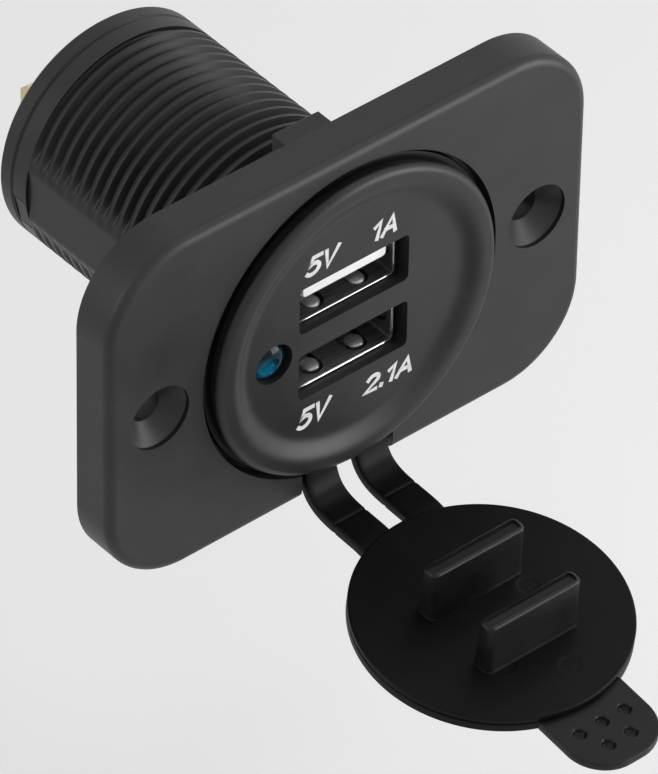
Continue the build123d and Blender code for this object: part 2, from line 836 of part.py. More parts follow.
# Strap ring: washer under the flange with two bent straps down to the hinge line
bend_y = hinge_y + strap_bend_back
bend_z = hinge_z + strap_bend_rise
bend_outer = strap_bend_radius + strap_thickness
seat_radius = knuckle_radius + knuckle_clearance
root_front = hinge_y + knuckle_radius
root_high = -(barrel_radius + ring_radius) / 2
with BuildPart() as strap_ring:
    with BuildSketch(across(recess_floor)):
        Circle(ring_radius)
        Circle(barrel_radius + ring_clearance, mode=Mode.SUBTRACT)
    extrude(amount=ring_thickness)
    for strap_x in (-strap_outer, strap_inner):
        with BuildSketch(side(strap_x)):
            with BuildLine():
                outer_bend = CenterArc((bend_y, bend_z), bend_outer, 0, -90)
                inner_bend = CenterArc((bend_y, bend_z), strap_bend_radius, -90, 90)
                Line(outer_bend @ 1, inner_bend @ 0)
                Polyline(
                    inner_bend @ 1,
                    (flange_back, bend_z + strap_thickness),
                    (flange_back, root_high),
                    (recess_floor, root_high),
                    (recess_floor, bend_z + strap_thickness),
                    outer_bend @ 0,
                )
            make_face()
            with Locations((root_front, hinge_z)):
                Rectangle(
                    strap_thickness,
                    4 * strap_thickness,
                    align=(Align.MAX, Align.CENTER),
                    mode=Mode.SUBTRACT,
                )
            with BuildLine():
                Polyline(
                    (root_front, hinge_z - knuckle_radius / 2),
                    (root_front + hinge_relief, hinge_z - strap_thickness),
                    (root_front, hinge_z - strap_thickness),
                    close=True,
                )
            make_face(mode=Mode.SUBTRACT)
            with Locations((hinge_y, hinge_z)):
                Circle(seat_radius, mode=Mode.SUBTRACT)
        extrude(amount=strap_width)
finish(strap_ring, "strap_ring")


# Sealing cap: liner and outer disc, pull tab, two port plugs and the straps' moving ends
cap_back = Vector(0, cos(radians(cap_tilt)), sin(radians(cap_tilt)))
cap_up = Vector(0, -sin(radians(cap_tilt)), cos(radians(cap_tilt)))
cap_middle = Vector(0, hinge_y, hinge_z) - cap_back * cap_reach + cap_up * cap_hinge_depth
cap_plane = Plane(origin=cap_middle, x_dir=(1, 0, 0), z_dir=cap_up)
cap_section = Plane(origin=cap_middle, x_dir=(1, 0, 0), z_dir=-cap_back)
groove_top = -cap_liner_thickness
groove_bottom = groove_top - cap_groove_width
neck_radius = cap_radius - cap_groove_depth
cap_edge = cap_middle + cap_back * cap_radius
strap_join = cap_middle + cap_back * (cap_radius - strap_thickness)
strap_foot = strap_join - cap_up * (cap_thickness - cap_edge_radius)
strap_top = hinge_z + strap_rise
strap_bottom = strap_top - strap_thickness
with BuildPart() as sealing_cap:
    with BuildSketch(cap_section):
        with BuildLine():
            Polyline(
                (0, 0),
                (cap_radius - cap_edge_radius, 0),
                (cap_radius, -cap_edge_radius),
                (cap_radius, groove_top),
                (neck_radius, groove_top),
                (neck_radius, groove_bottom),
                (cap_radius, groove_bottom),
                (cap_radius, -cap_thickness + cap_edge_radius),
                (cap_radius - cap_edge_radius, -cap_thickness),
                (0, -cap_thickness),
                close=True,
            )
        make_face()
    revolve(axis=Axis(cap_middle, cap_up))
    with BuildSketch(cap_plane.offset(-cap_thickness)) as tab:
        with Locations((0, -tab_reach)):
            Rectangle(2 * strap_outer, tab_reach, align=(Align.CENTER, Align.MIN))
        fillet(tab.vertices().group_by(Axis.Y)[0], radius=tab_corner_radius)
    extrude(amount=cap_thickness + groove_bottom)
    with BuildSketch(cap_plane.offset(groove_bottom)):
        for dimple_gap, dimple_row in dimple_rows:
            for dimple_x in dimple_row:
                with Locations((dimple_x, -cap_radius - dimple_gap)):
                    Circle(dimple_radius)
    extrude(amount=-dimple_depth, taper=30, mode=Mode.SUBTRACT)
    for port_z in port_heights.values():
        plug_near = port_z - plug_drop + hinge_drop - cap_reach
        with BuildSketch(cap_plane):
            with Locations((0, -plug_near - plug_base_thickness / 2)):
                RectangleRounded(plug_width, plug_base_thickness, plug_corner_radius)
        with BuildSketch(cap_plane.offset(plug_height)):
            with Locations((0, -plug_near - plug_tip_thickness / 2)):
                RectangleRounded(plug_width, plug_tip_thickness, plug_corner_radius)
        loft()
        with BuildSketch(cap_plane.offset(plug_height)):
            with Locations((0, -plug_near - plug_tip_thickness / 2)):
                Rectangle(
                    plug_width - 2 * plug_corner_radius,
                    plug_tip_thickness - 2 * plug_hollow_wall,
                )
        extrude(amount=-plug_hollow_depth, mode=Mode.SUBTRACT)
    for strap_x in (-strap_outer, strap_inner):
        with BuildSketch(side(strap_x)):
            with BuildLine():
                Polyline(
                    (hinge_y, hinge_z + knuckle_radius),
                    (hinge_y - strap_thickness, strap_top),
                    (cap_edge.Y, strap_top),
                    (strap_join.Y, strap_join.Z),
                    (strap_foot.Y, strap_foot.Z),
                    (cap_edge.Y, strap_bottom),
                    (hinge_y - strap_thickness, strap_bottom),
                    (hinge_y, hinge_z - knuckle_radius),
                    close=True,
                )
            make_face()
            with Locations((hinge_y, hinge_z)):
                Circle(knuckle_radius)
        extrude(amount=strap_width)
finish(sealing_cap, "sealing_cap")
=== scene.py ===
"""Looks of the car dual USB socket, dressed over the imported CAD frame.

Lengths in this file are millimetres in the frame's axes: x to the right, y from the front of the plate to the
blades at the back, z up. Meshes are scaled to metres as they are made.
"""

from __future__ import annotations

import json
import logging
import math
from collections.abc import Callable
from dataclasses import dataclass
from enum import Enum

import bmesh
import bpy
import numpy as np
from mathutils import Matrix, Vector

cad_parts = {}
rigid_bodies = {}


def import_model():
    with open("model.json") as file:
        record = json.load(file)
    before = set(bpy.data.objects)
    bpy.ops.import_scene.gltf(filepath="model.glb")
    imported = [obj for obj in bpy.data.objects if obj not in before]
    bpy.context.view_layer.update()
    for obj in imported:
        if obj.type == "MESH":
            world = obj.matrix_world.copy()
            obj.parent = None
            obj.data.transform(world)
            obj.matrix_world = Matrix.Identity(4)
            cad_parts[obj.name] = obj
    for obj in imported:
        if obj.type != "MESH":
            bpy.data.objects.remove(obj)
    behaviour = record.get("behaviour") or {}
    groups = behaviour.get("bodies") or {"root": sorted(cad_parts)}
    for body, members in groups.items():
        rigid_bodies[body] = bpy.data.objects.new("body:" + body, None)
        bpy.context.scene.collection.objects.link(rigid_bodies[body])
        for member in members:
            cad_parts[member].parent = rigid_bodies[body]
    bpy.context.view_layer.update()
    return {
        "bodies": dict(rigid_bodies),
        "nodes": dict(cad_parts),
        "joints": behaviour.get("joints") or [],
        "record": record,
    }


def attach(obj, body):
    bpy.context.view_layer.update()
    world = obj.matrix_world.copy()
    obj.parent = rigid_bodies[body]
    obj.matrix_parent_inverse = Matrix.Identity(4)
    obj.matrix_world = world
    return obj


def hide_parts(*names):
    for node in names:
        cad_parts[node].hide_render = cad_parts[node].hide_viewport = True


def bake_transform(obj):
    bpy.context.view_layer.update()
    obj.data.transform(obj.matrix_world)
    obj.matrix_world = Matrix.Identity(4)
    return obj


LOG = logging.getLogger("usb_socket")
METRE = 0.001
# Edges sharper than this stay sharp
SHARP_DEGREES = 38.0
# Inputs of a Map Range node in vector mode, whose names are also those of its plain inputs
SOURCE, FROM_MIN, FROM_MAX, TO_MIN, TO_MAX = range(6, 11)

Piece = bpy.types.Object
Material = bpy.types.Material
Tree = bpy.types.NodeTree
Node = bpy.types.Node
Socket = bpy.types.NodeSocket


def linear(code: str) -> tuple[float, float, float, float]:
    """Turns an sRGB hex colour into linear light.

    Args:
        code: six hex digits, such as "3a3a3c".

    Returns:
        Red, green, blue and full alpha.
    """
    srgb = [int(code[at : at + 2], 16) / 255 for at in (0, 2, 4)]
    light = [v / 12.92 if v <= 0.04045 else ((v + 0.055) / 1.055) ** 2.4 for v in srgb]
    return light[0], light[1], light[2], 1.0


def feed(tree: Tree, node: Node, links: dict) -> None:
    """Links output sockets to a node's inputs, by input name or number."""
    for socket, source in links.items():
        tree.links.new(source, node.inputs[socket])


def add(
    tree: Tree, kind: str, values: dict | None = None, links: dict | None = None, **settings: object
) -> Node:
    """Adds one node with its settings, values and links.

    Args:
        tree: node tree that gets the node.
        kind: Blender's name for the node.
        values: socket values by input name or number.
        links: output sockets by the input name or number they feed.
        settings: attributes of the node itself.

    Returns:
        The new node.
    """
    node = tree.nodes.new(kind)
    for name, value in settings.items():
        setattr(node, name, value)
    for socket, value in (values or {}).items():
        node.inputs[socket].default_value = value
    feed(tree, node, links or {})
    return node


def tint_limits(start: float, end: float, first: str, last: str) -> dict:
    """Values with which a vector Map Range turns the span from start to end into two hex colours."""
    return {
        FROM_MIN: [start] * 3,
        FROM_MAX: [end] * 3,
        TO_MIN: linear(first)[:3],
        TO_MAX: linear(last)[:3],
    }


def shader_start(name: str, values: dict) -> tuple[Material, Tree, Node]:
    """Makes a material with a Principled shader.

    Args:
        name: name of the material.
        values: the shader's values by input name.

    Returns:
        The material, its tree and its shader.
    """
    material = bpy.data.materials.new(name)
    material.use_nodes = True
    tree = material.node_tree
    tree.nodes.clear()
    shader = add(tree, "ShaderNodeBsdfPrincipled", values)
    add(tree, "ShaderNodeOutputMaterial", links={"Surface": shader.outputs[0]})
    return material, tree, shader


@dataclass(frozen=True)
class Moulding:
    """Moulded polymer: a fine spark-eroded grain, slight mottling of the gloss and a little settled dust.

    Where crest_mm is given, painted shade darkens a thread's roots, but not the flats at flat_mm.
    """

    name: str
    colour: str
    pale: str
    roughness: float
    grain_mm: float
    grain_height_mm: float
    mottle_mm: float = 6.0
    mottle: float = 0.06
    specular: float = 0.5
    root_mm: float = 0.0
    crest_mm: float = 0.0
    flat_mm: float = 0.0
    flat_fade_mm: tuple[float, float] = (0.08, 0.01)
    root_share: float = 0.2
    grain_share: float = 0.35
    tint_from: float = 0.45
    tint_to: float = 0.95

    def painted_root_shade(self, tree: Tree, place: Socket, tint: Socket) -> Socket:
        """Paints shade into the colour in a thread's roots.

        The share of full colour rises from root to crest with the distance from the axis, and is full on the
        two flats, which are told by their distance from the middle plane.

        Args:
            tree: node tree of the material.
            place: Object coordinates.
            tint: colour on the crests.

        Returns:
            The darkened colour.
        """
        kind, plain = "ShaderNodeVectorMath", "ShaderNodeMapRange"
        across = add(tree, kind, {1: (1, 0, 1)}, {0: place}, operation="MULTIPLY").outputs[0]
        radius = add(tree, kind, links={0: across}, operation="LENGTH").outputs["Value"]
        root, crest = self.root_mm * METRE, self.crest_mm * METRE
        span = {"From Min": root, "From Max": crest, "To Min": self.root_share}
        rise = add(tree, plain, span, {"Value": radius}).outputs[0]
        side = add(tree, "ShaderNodeSeparateXYZ", links={0: place}).outputs[0]
        off = add(tree, "ShaderNodeMath", links={0: side}, operation="ABSOLUTE").outputs[0]
        start, end = ((self.flat_mm - fade) * METRE for fade in self.flat_fade_mm)
        flat = add(tree, plain, {"From Min": start, "From Max": end}, {"Value": off}).outputs[0]
        share = add(tree, "ShaderNodeMath", links={0: rise, 1: flat}, operation="MAXIMUM").outputs[0]
        return add(tree, kind, links={0: tint, "Scale": share}, operation="SCALE").outputs[0]

    def make(self) -> Material:
        """Builds the material.

        Returns:
            The material, its patterns on Object coordinates.
        """
        material, tree, shader = shader_start(self.name, {"IOR": 1.5, "Specular IOR Level": self.specular})
        place = add(tree, "ShaderNodeTexCoord").outputs["Object"]
        grain, mottle = (
            add(
                tree,
                "ShaderNodeTexNoise",
                {"Scale": 1 / (size * METRE), "Detail": detail, "Roughness": roughness},
                {"Vector": place},
            ).outputs["Fac"]
            for size, detail, roughness in ((self.grain_mm, 2.0, 0.6), (self.mottle_mm, 4.0, 0.55))
        )
        links = {0: grain, 2: mottle}
        mixed = add(tree, "ShaderNodeMath", {1: self.grain_share}, links, operation="MULTIPLY_ADD").outputs[0]
        limits = tint_limits(self.tint_from, self.tint_to, self.colour, self.pale)
        tint = add(tree, "ShaderNodeMapRange", limits, {SOURCE: mixed}, data_type="FLOAT_VECTOR").outputs[1]
        # Painted shade: the colour darkens towards a thread's roots
        if self.crest_mm:
            tint = self.painted_root_shade(tree, place, tint)
        limits = {"To Min": self.roughness - self.mottle, "To Max": self.roughness + self.mottle}
        gloss = add(tree, "ShaderNodeMapRange", limits, {"Value": mottle}).outputs[0]
        depth = {"Strength": 1.0, "Distance": self.grain_height_mm * METRE}
        bump = add(tree, "ShaderNodeBump", depth, {"Height": grain}).outputs[0]
        feed(tree, shader, {"Base Color": tint, "Roughness": gloss, "Normal": bump})
        return material


@dataclass(frozen=True)
class Metal:
    """Plain or plated metal: an even colour with faint rolling streaks in its gloss."""

    name: str
    colour: str
    worn: str
    roughness: float
    streak_mm: tuple[float, float, float] = (3.0, 0.25, 3.0)
    duller: float = 0.08
    brighter: float = 0.06
    tint_from: float = 0.35
    tint_to: float = 0.6

    def make(self) -> Material:
        """Builds the material.

        Returns:
            The material, its streaks on Object coordinates.
        """
        material, tree, shader = shader_start(self.name, {"Metallic": 1.0})
        place = add(tree, "ShaderNodeTexCoord").outputs["Object"]
        scale = tuple(1 / (length * METRE) for length in self.streak_mm)
        stretched = add(tree, "ShaderNodeMapping", {"Scale": scale}, {"Vector": place}).outputs[0]
        noise = {"Scale": 1.0, "Detail": 3.0, "Roughness": 0.6}
        streak = add(tree, "ShaderNodeTexNoise", noise, {"Vector": stretched}).outputs["Fac"]
        limits = tint_limits(self.tint_from, self.tint_to, self.worn, self.colour)
        tint = add(tree, "ShaderNodeMapRange", limits, {SOURCE: streak}, data_type="FLOAT_VECTOR").outputs[1]
        limits = {"To Min": self.roughness + self.duller, "To Max": self.roughness - self.brighter}
        gloss = add(tree, "ShaderNodeMapRange", limits, {"Value": streak}).outputs[0]
        feed(tree, shader, {"Base Color": tint, "Roughness": gloss})
        return material


@dataclass(frozen=True)
class LampResin:
    """Cast epoxy lamp lens, dyed teal blue: clear gloss over painted light, colour and glow palest at its
    core.
    """

    name: str
    deep: str
    pale: str
    core_mm: tuple[float, float, float]
    reach_mm: float = 2.4
    pale_share: float = 0.15
    deep_share: float = 0.75
    roughness: float = 0.07
    specular: float = 0.12
    glow: float = 0.08

    def make(self) -> Material:
        """Builds the material.

        Returns:
            The material, its painted light paler nearer the lens's core.
        """
        values = {"IOR": 1.54, "Roughness": self.roughness, "Specular IOR Level": self.specular}
        material, tree, shader = shader_start(self.name, {**values, "Emission Strength": self.glow})
        place = add(tree, "ShaderNodeTexCoord").outputs["Object"]
        core = {1: [length * METRE for length in self.core_mm]}
        away = add(tree, "ShaderNodeVectorMath", core, {0: place}, operation="DISTANCE").outputs["Value"]
        reach = self.reach_mm * METRE
        # Painted light: the colour and its glow grow paler towards the core
        limits = tint_limits(self.pale_share * reach, self.deep_share * reach, self.pale, self.deep)
        tint = add(tree, "ShaderNodeMapRange", limits, {SOURCE: away}, data_type="FLOAT_VECTOR").outputs[1]
        feed(tree, shader, {"Base Color": tint, "Emission Color": tint})
        return material


class Finish(Enum):
    """Finishes of the socket, one for each real material."""

    # Spark-eroded mould: an even satin black that breaks highlights into a fine grain
    PLATE = Moulding("abs_black_spark_grain", "1e1e1f", "2a2a2b", 0.44, 0.17, 0.012, specular=0.34)
    # Finer mould texture than the plate's: the same satin black with a smoother sheen
    HOUSING = Moulding("abs_black_satin", "1f1f20", "2a2a2b", 0.44, 0.15, 0.008, specular=0.31)
    # Machined mould core: crests catch thin lights, and painted shade darkens the roots
    THREAD = Moulding(
        "abs_black_thread", "1e1e1f", "292929", 0.38, 0.2, 0.005, specular=0.26, root_mm=13.3, crest_mm=13.78,
        flat_mm=13.41,
    )
    # Soft elastomer: nearly black, with only a faint broad sheen
    RUBBER = Moulding("elastomer_black_soft", "09090a", "111112", 0.43, 0.13, 0.006, 5.0, 0.08, 0.10)
    # The same elastomer on the tab and plugs: smoother, and painted a little paler for the light they catch
    TAB = Moulding("elastomer_black_painted_light", "101011", "1a1a1b", 0.38, 0.13, 0.005, 4.0, 0.08, 0.22)
    # Moulded white polyester: bright, slightly warm, semi-gloss
    INSULATOR = Moulding("pbt_white_insulator", "f8f8f6", "fefefc", 0.35, 0.3, 0.004)
    # Pad-printed ink: a thin greyish white with slightly uneven cover
    INK = Moulding("ink_white_pad_print", "d6d6d5", "f2f2f0", 0.55, 0.22, 0.004, 0.9, 0.05)
    # Solder mask over glass epoxy: green semi-gloss
    LAMINATE = Moulding("glass_epoxy_green", "14452c", "1d5a3a", 0.35, 0.4, 0.006)
    # Pressed and sintered powder: a dull dark grey
    FERRITE = Moulding("ferrite_sintered", "26272a", "35363a", 0.55, 0.25, 0.012)
    # Transfer-moulded package: dull black
    CHIP = Moulding("epoxy_mould_black", "1b1b1d", "28282a", 0.5, 0.15, 0.010)
    # Dull nickel of the port shells: painted shade makes it darker than the lips' same nickel, on top of the
    # shade it mirrors
    SHELL = Metal("steel_nickel_dull_painted_shade", "8c8d90", "6c6d70", 0.42)
    # Bright nickel on the shells' rolled lips: a thin white line round each mouth
    STEEL = Metal("steel_nickel_plated", "d6d7da", "b9bbbe", 0.22)
    # Satin nickel on the sprung fingers: a soft grey sheen over each bowed tip
    SPRING = Metal("steel_nickel_satin", "d0d1d4", "a9aaad", 0.46)
    # Gold flash over nickel: warm yellow on the contact strips
    GOLD = Metal("contact_gold_plated", "e3b65c", "c39244", 0.22, (2.0, 0.4, 2.0))
    # Enamelled wire: glossy copper brown in turns
    COPPER = Metal("copper_enamelled_wire", "b0683a", "8a4b26", 0.3, (4.0, 4.0, 0.25))
    # Drawn aluminium can: fine lines round the can
    CAN = Metal("aluminium_can", "c4c7cb", "aeb1b6", 0.3, (3.0, 3.0, 0.5))
    # Tinned brass strip: pale yellow grey, rolled lengthwise
    BRASS = Metal("brass_tinned_blade", "cfc39a", "c8bb90", 0.28, (0.15, 6.0, 0.15))
    # Dyed epoxy under a clear gloss; painted light makes it deep teal at the rim and lighter in its core
    LAMP = LampResin("epoxy_lamp_teal", "031a27", "0a6a86", (-11.4, -4.9, -1.2))

    def make(self) -> Material:
        """Returns this finish's material, made once."""
        return bpy.data.materials.get(self.value.name) or self.value.make()


SLOT_FINISH = {
    "plate_plastic": Finish.PLATE,
    "housing_plastic": Finish.HOUSING,
    "soft_rubber": Finish.RUBBER,
    "plated_steel": Finish.SHELL,
    "white_insulator": Finish.INSULATOR,
    "contact_gold": Finish.GOLD,
    "board_laminate": Finish.LAMINATE,
    "lamp_lens": Finish.LAMP,
    "ferrite": Finish.FERRITE,
    "copper_wire": Finish.COPPER,
    "capacitor_can": Finish.CAN,
    "chip_body": Finish.CHIP,
    "terminal_brass": Finish.BRASS,
}


def smoothstep(share: np.ndarray) -> np.ndarray:
    """Eases values clipped to 0..1 with 3 t squared less 2 t cubed."""
    held = np.clip(share, 0.0, 1.0)
    return held * held * (3 - 2 * held)


def quad_corners(rows: int, columns: int, wrap_rows: bool, wrap_columns: bool) -> np.ndarray:
    """Numbers the corners of the quads between neighbouring points of a grid.

    Args:
        rows: rows of points.
        columns: points in a row.
        wrap_rows: whether the last row joins the first.
        wrap_columns: whether the last column joins the first.

    Returns:
        quads by 4 array.
    """
    index = np.arange(rows * columns).reshape(rows, columns)
    if wrap_rows:
        index = np.vstack([index, index[:1]])
    if wrap_columns:
        index = np.hstack([index, index[:, :1]])
    corners = [index[:-1, :-1], index[:-1, 1:], index[1:, 1:], index[1:, :-1]]
    return np.stack(corners, axis=-1).reshape(-1, 4)


def mesh_piece(name: str, points: np.ndarray, faces: np.ndarray) -> Piece:
    """Makes a piece: merges its doubles, turns its faces outwards, shades it and adds it to the scene.

    Args:
        name: name of the piece.
        points: points by 3 array in millimetres.
        faces: faces by corners array of point numbers.

    Returns:
        The object that shows the mesh.
    """
    mesh = bpy.data.meshes.new(name)
    mesh.from_pydata((points * METRE).tolist(), [], faces.tolist())
    work = bmesh.new()
    work.from_mesh(mesh)
    bmesh.ops.remove_doubles(work, verts=work.verts, dist=2e-7)
    bmesh.ops.dissolve_degenerate(work, edges=work.edges, dist=1e-8)
    bmesh.ops.recalc_face_normals(work, faces=work.faces)
    work.to_mesh(mesh)
    work.free()
    mesh.shade_smooth()
    mesh.set_sharp_from_angle(angle=math.radians(SHARP_DEGREES))
    piece = bpy.data.objects.new(name, mesh)
    bpy.context.scene.collection.objects.link(piece)
    return piece


def grid_piece(
    name: str, points: np.ndarray, wrap_rows: bool = False, wrap_columns: bool = True
) -> Piece:
    """Makes a closed piece from a grid of points, with one quad between each four neighbours.

    Args:
        name: name of the piece.
        points: rows by columns by 3 array in millimetres.
        wrap_rows: whether the last row joins the first.
        wrap_columns: whether the last column joins the first.

    Returns:
        The piece.
    """
    quads = quad_corners(*points.shape[:2], wrap_rows, wrap_columns)
    return mesh_piece(name, points.reshape(-1, 3), quads)


def moved_copy(name: str, node: Piece, move: Callable[[np.ndarray], np.ndarray]) -> Piece:
    """Copies a CAD node's triangles into a piece of its own and moves their points.

    Args:
        name: name of the piece.
        node: the CAD node.
        move: gives the points, in millimetres, their new places.

    Returns:
        The piece.
    """
    source = node.data
    flat = np.zeros(len(source.vertices) * 3)
    source.vertices.foreach_get("co", flat)
    corners = np.zeros(len(source.loops), dtype=np.int32)
    source.loops.foreach_get("vertex_index", corners)
    return mesh_piece(name, move(flat.reshape(-1, 3) / METRE), corners.reshape(-1, 3))


def dress(piece: Piece, finish: Finish, body: str | None = "socket") -> Piece:
    """Gives a piece its finish and the body it rides on.

    Args:
        piece: the piece to dress.
        finish: its finish.
        body: CAD body, or None for a piece that runs between two and stays on neither.

    Returns:
        The same piece.
    """
    piece.data.materials.clear()
    piece.data.materials.append(finish.make())
    if body is not None:
        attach(piece, body)
    LOG.info("%s: %d faces, %s", piece.name, len(piece.data.polygons), finish.value.name)
    return piece


def rounded_rings(
    half_x: np.ndarray | float, half_w: np.ndarray | float, radius: np.ndarray | float, count: int
) -> np.ndarray:
    """Walks rounded rectangles, one for each row of sizes.

    A corner arc's centre and the outward direction both change linearly along the walk: the direction turns
    over an arc while the centre rests, and the centre moves along a straight side while the direction rests.
    A point is the centre plus the radius along the direction. Each arc gets at least a sixteenth of them.

    Args:
        half_x: half of the width, one number or one for each row.
        half_w: half of the depth, likewise.
        radius: corner radius, likewise.
        count: number of points in a row.

    Returns:
        rows by count by 2 array.
    """
    half_x, half_w, radius = np.broadcast_arrays(*np.atleast_1d(half_x, half_w, radius))
    side_x_run = 2 * float(np.max(half_x - radius))
    side_w_run = 2 * float(np.max(half_w - radius))
    arc = float(np.max(radius)) * math.pi / 2
    arc = max(arc, (side_x_run + side_w_run + 2 * arc) / 8)
    keys = np.cumsum([0.0, arc, side_x_run, arc, side_w_run, arc, side_x_run, arc, side_w_run])
    at = (np.arange(count) + 0.5) / count * keys[-1]
    side_x = np.interp(at, keys, [1, 1, -1, -1, -1, -1, 1, 1, 1])
    side_w = np.interp(at, keys, [1, 1, 1, 1, -1, -1, -1, -1, 1])
    turn = np.interp(at, keys, [0, 0.5, 0.5, 1, 1, 1.5, 1.5, 2, 2]) * math.pi
    x = side_x * (half_x - radius)[:, None] + radius[:, None] * np.cos(turn)
    w = side_w * (half_w - radius)[:, None] + radius[:, None] * np.sin(turn)
    return np.stack([x, w], axis=-1)


def turned(profile: np.ndarray, count: int) -> np.ndarray:
    """Turns a profile of radius and depth about the barrel's axis.

    Args:
        profile: points by 2 array.
        count: number of steps round the axis.

    Returns:
        points by count by 3 array.
    """
    angles = np.arange(count) * 2 * math.pi / count
    radii = profile[:, None, 0]
    depth = np.broadcast_to(profile[:, None, 1], (len(profile), count))
    return np.stack([radii * np.cos(angles), depth, radii * np.sin(angles)], axis=-1)


def raised(plan: np.ndarray, height: np.ndarray) -> np.ndarray:
    """Gives each row of a plan its height as a third number."""
    return np.dstack([plan, np.broadcast_to(height[:, None], plan.shape[:2])])


def closed_ends(points: np.ndarray) -> np.ndarray:
    """Adds a row before the first and after the last one, each drawn together in its neighbour's middle."""
    first, last = (np.broadcast_to(row.mean(axis=0), row.shape) for row in (points[0], points[-1]))
    return np.vstack([first[None], points, last[None]])


@dataclass
class HousingShell:
    """Moulded housing: the CAD shape with its barrel and flange drawn in under the finer sleeve and cover."""

    core: float = 13.05
    core_slack: float = 0.08
    thread_start: float = -4.55
    thread_end: float = 30.36
    flange_inner: float = 15.0
    flange_reach: float = 17.9
    flange_front: float = -5.58
    flange_back: float = -4.5
    face: float = -5.652
    cover_inner: float = 13.6
    cover_back: float = -4.62
    dish_start: float = 13.7
    dish_run: float = 3.4
    dish_rise: float = 1.048
    rim_inner: float = 17.1
    rim_outer: float = 17.5
    rim_edge: float = 0.9
    edge_depth: float = -5.8
    undercut: tuple[float, float] = (18.3, -5.6)

    def drawn_in(self, points: np.ndarray) -> np.ndarray:
        """Moves the points of the barrel's outside to the core radius, and the flange's inside its cover.

        A point's radius is scaled to the core's where it lies outside the core between the thread's ends. In
        the flange the radius is held under its reach and the depth behind its front.

        Args:
            points: points by 3 array in millimetres.

        Returns:
            The moved points.
        """
        x, y, z = points.T
        radius = np.maximum(np.hypot(x, z), 1e-6)
        outside = radius > self.core + self.core_slack
        on_barrel = (y > self.thread_start) & (y < self.thread_end) & outside
        in_flange = (y < self.flange_back) & (radius > self.flange_inner)
        held = np.where(in_flange, np.minimum(radius, self.flange_reach), radius)
        held = np.where(on_barrel, self.core, held)
        depth = np.where(in_flange, np.maximum(y, self.flange_front), y)
        return np.stack([x * held / radius, depth, z * held / radius], axis=-1)

    def flange(self) -> Piece:
        """Turns the flange's section: an eased dish, a flat rim, a rounded edge and an undercut side.

        The dish's depth eases from the face up to the rim by 10 t cubed less 15 t to the fourth plus 6 t to
        the fifth, so its slope starts and ends at nought. The edge is a quarter circle. The side behind
        it runs in on a slant, which leaves a dark gap round the flange.

        Returns:
            The flange's cover.
        """
        dish = np.linspace(self.cover_inner, self.rim_inner, 48)
        share = np.clip((dish - self.dish_start) / self.dish_run, 0.0, 1.0)
        front = self.face - self.dish_rise * share**3 * (10 - 15 * share + 6 * share**2)
        bend = np.linspace(0, math.pi / 2, 10)
        radius = self.rim_outer + self.rim_edge * np.sin(bend)
        edge = np.stack([radius, self.edge_depth - self.rim_edge * np.cos(bend)], axis=-1)
        back = [self.undercut, (self.rim_inner, self.cover_back), (self.cover_inner, self.cover_back)]
        profile = np.vstack([np.stack([dish, front], axis=-1), edge, back])
        cover = grid_piece("flange_cover", turned(profile, 200), wrap_rows=True)
        return dress(cover, Finish.HOUSING)

    def build(self, node: Piece) -> Piece:
        """Draws in a copy of the CAD housing and covers its flange.

        Args:
            node: the CAD housing.

        Returns:
            The shell that stands for it.
        """
        shell = moved_copy("housing_shell", node, self.drawn_in)
        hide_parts("socket_housing")
        self.flange()
        return dress(shell, Finish.HOUSING)


@dataclass
class ThreadedBarrel:
    """Rolled-look thread over the housing's barrel, with two flats and a plain end."""

    crest: float = 13.8
    root: float = 13.22
    bore: float = 13.1
    flat: float = 13.41
    flat_half_width: float = 3.2
    fade_width: float = 3.2
    pitch: float = 1.6
    groove_floor: float = 0.1
    groove_flank: float = 0.5
    groove_at: float = 30.5
    first: float = -4.5
    last: float = 30.39
    columns: int = 240
    per_pitch: int = 16

    def radius(self, angle: np.ndarray, depth: np.ndarray) -> np.ndarray:
        """Radius of the thread's surface.

        The distance along the barrel to the nearest groove's centre, which falls by one pitch for each turn
        of the angle, raises the radius from the root up to the crest. Grooves ease out towards the two flats,
        which cut everything to their own distance from the middle plane.

        Args:
            angle: turn from +x towards +z, one for each column.
            depth: place along the barrel, rows by columns.

        Returns:
            Radius at each place.
        """
        centre = self.groove_at - self.pitch * angle / (2 * math.pi)
        nearest = centre + np.round((depth - centre) / self.pitch) * self.pitch
        rise = np.clip((np.abs(depth - nearest) - self.groove_floor) / self.groove_flank, 0.0, 1.0)
        height_off = np.abs(np.sin(angle)) * self.crest
        fade = smoothstep((height_off - self.flat_half_width) / self.fade_width)
        thread = self.root + (self.crest - self.root) * (1 - (1 - rise) * fade)
        flat = self.flat / np.maximum(np.abs(np.cos(angle)), 1e-6)
        on_flat = height_off < self.flat_half_width
        return np.where(on_flat, np.minimum(flat, self.crest), np.minimum(thread, flat))

    def build(self) -> Piece:
        """Builds the sleeve as a closed ring around the housing's wall.

        Rows follow the helix: a row's depth falls by one pitch over a full turn and is held between the two
        ends, so each row keeps its place in the thread's section.

        Returns:
            The threaded sleeve.
        """
        step = self.pitch / self.per_pitch
        count = int(math.ceil((self.last - self.first + self.pitch) / step)) + 1
        start = self.groove_at - self.pitch * math.ceil((self.groove_at - self.first) / self.pitch)
        turns = np.linspace(0.0, 1.0, self.columns + 1)
        along = start + np.arange(count + self.per_pitch) * step
        depth = np.clip(along[:, None] - self.pitch * turns, self.first, self.last)
        angle = 2 * math.pi * turns
        radii = np.pad(self.radius(angle, depth), ((1, 1), (0, 0)), constant_values=self.bore)
        depth = np.pad(depth, ((1, 1), (0, 0)), mode="edge")
        depth[0], depth[-1] = self.first, self.last
        points = np.stack([radii * np.cos(angle), depth, radii * np.sin(angle)], axis=-1)
        sleeve = grid_piece("barrel_thread", points, wrap_rows=True, wrap_columns=False)
        return dress(sleeve, Finish.THREAD)


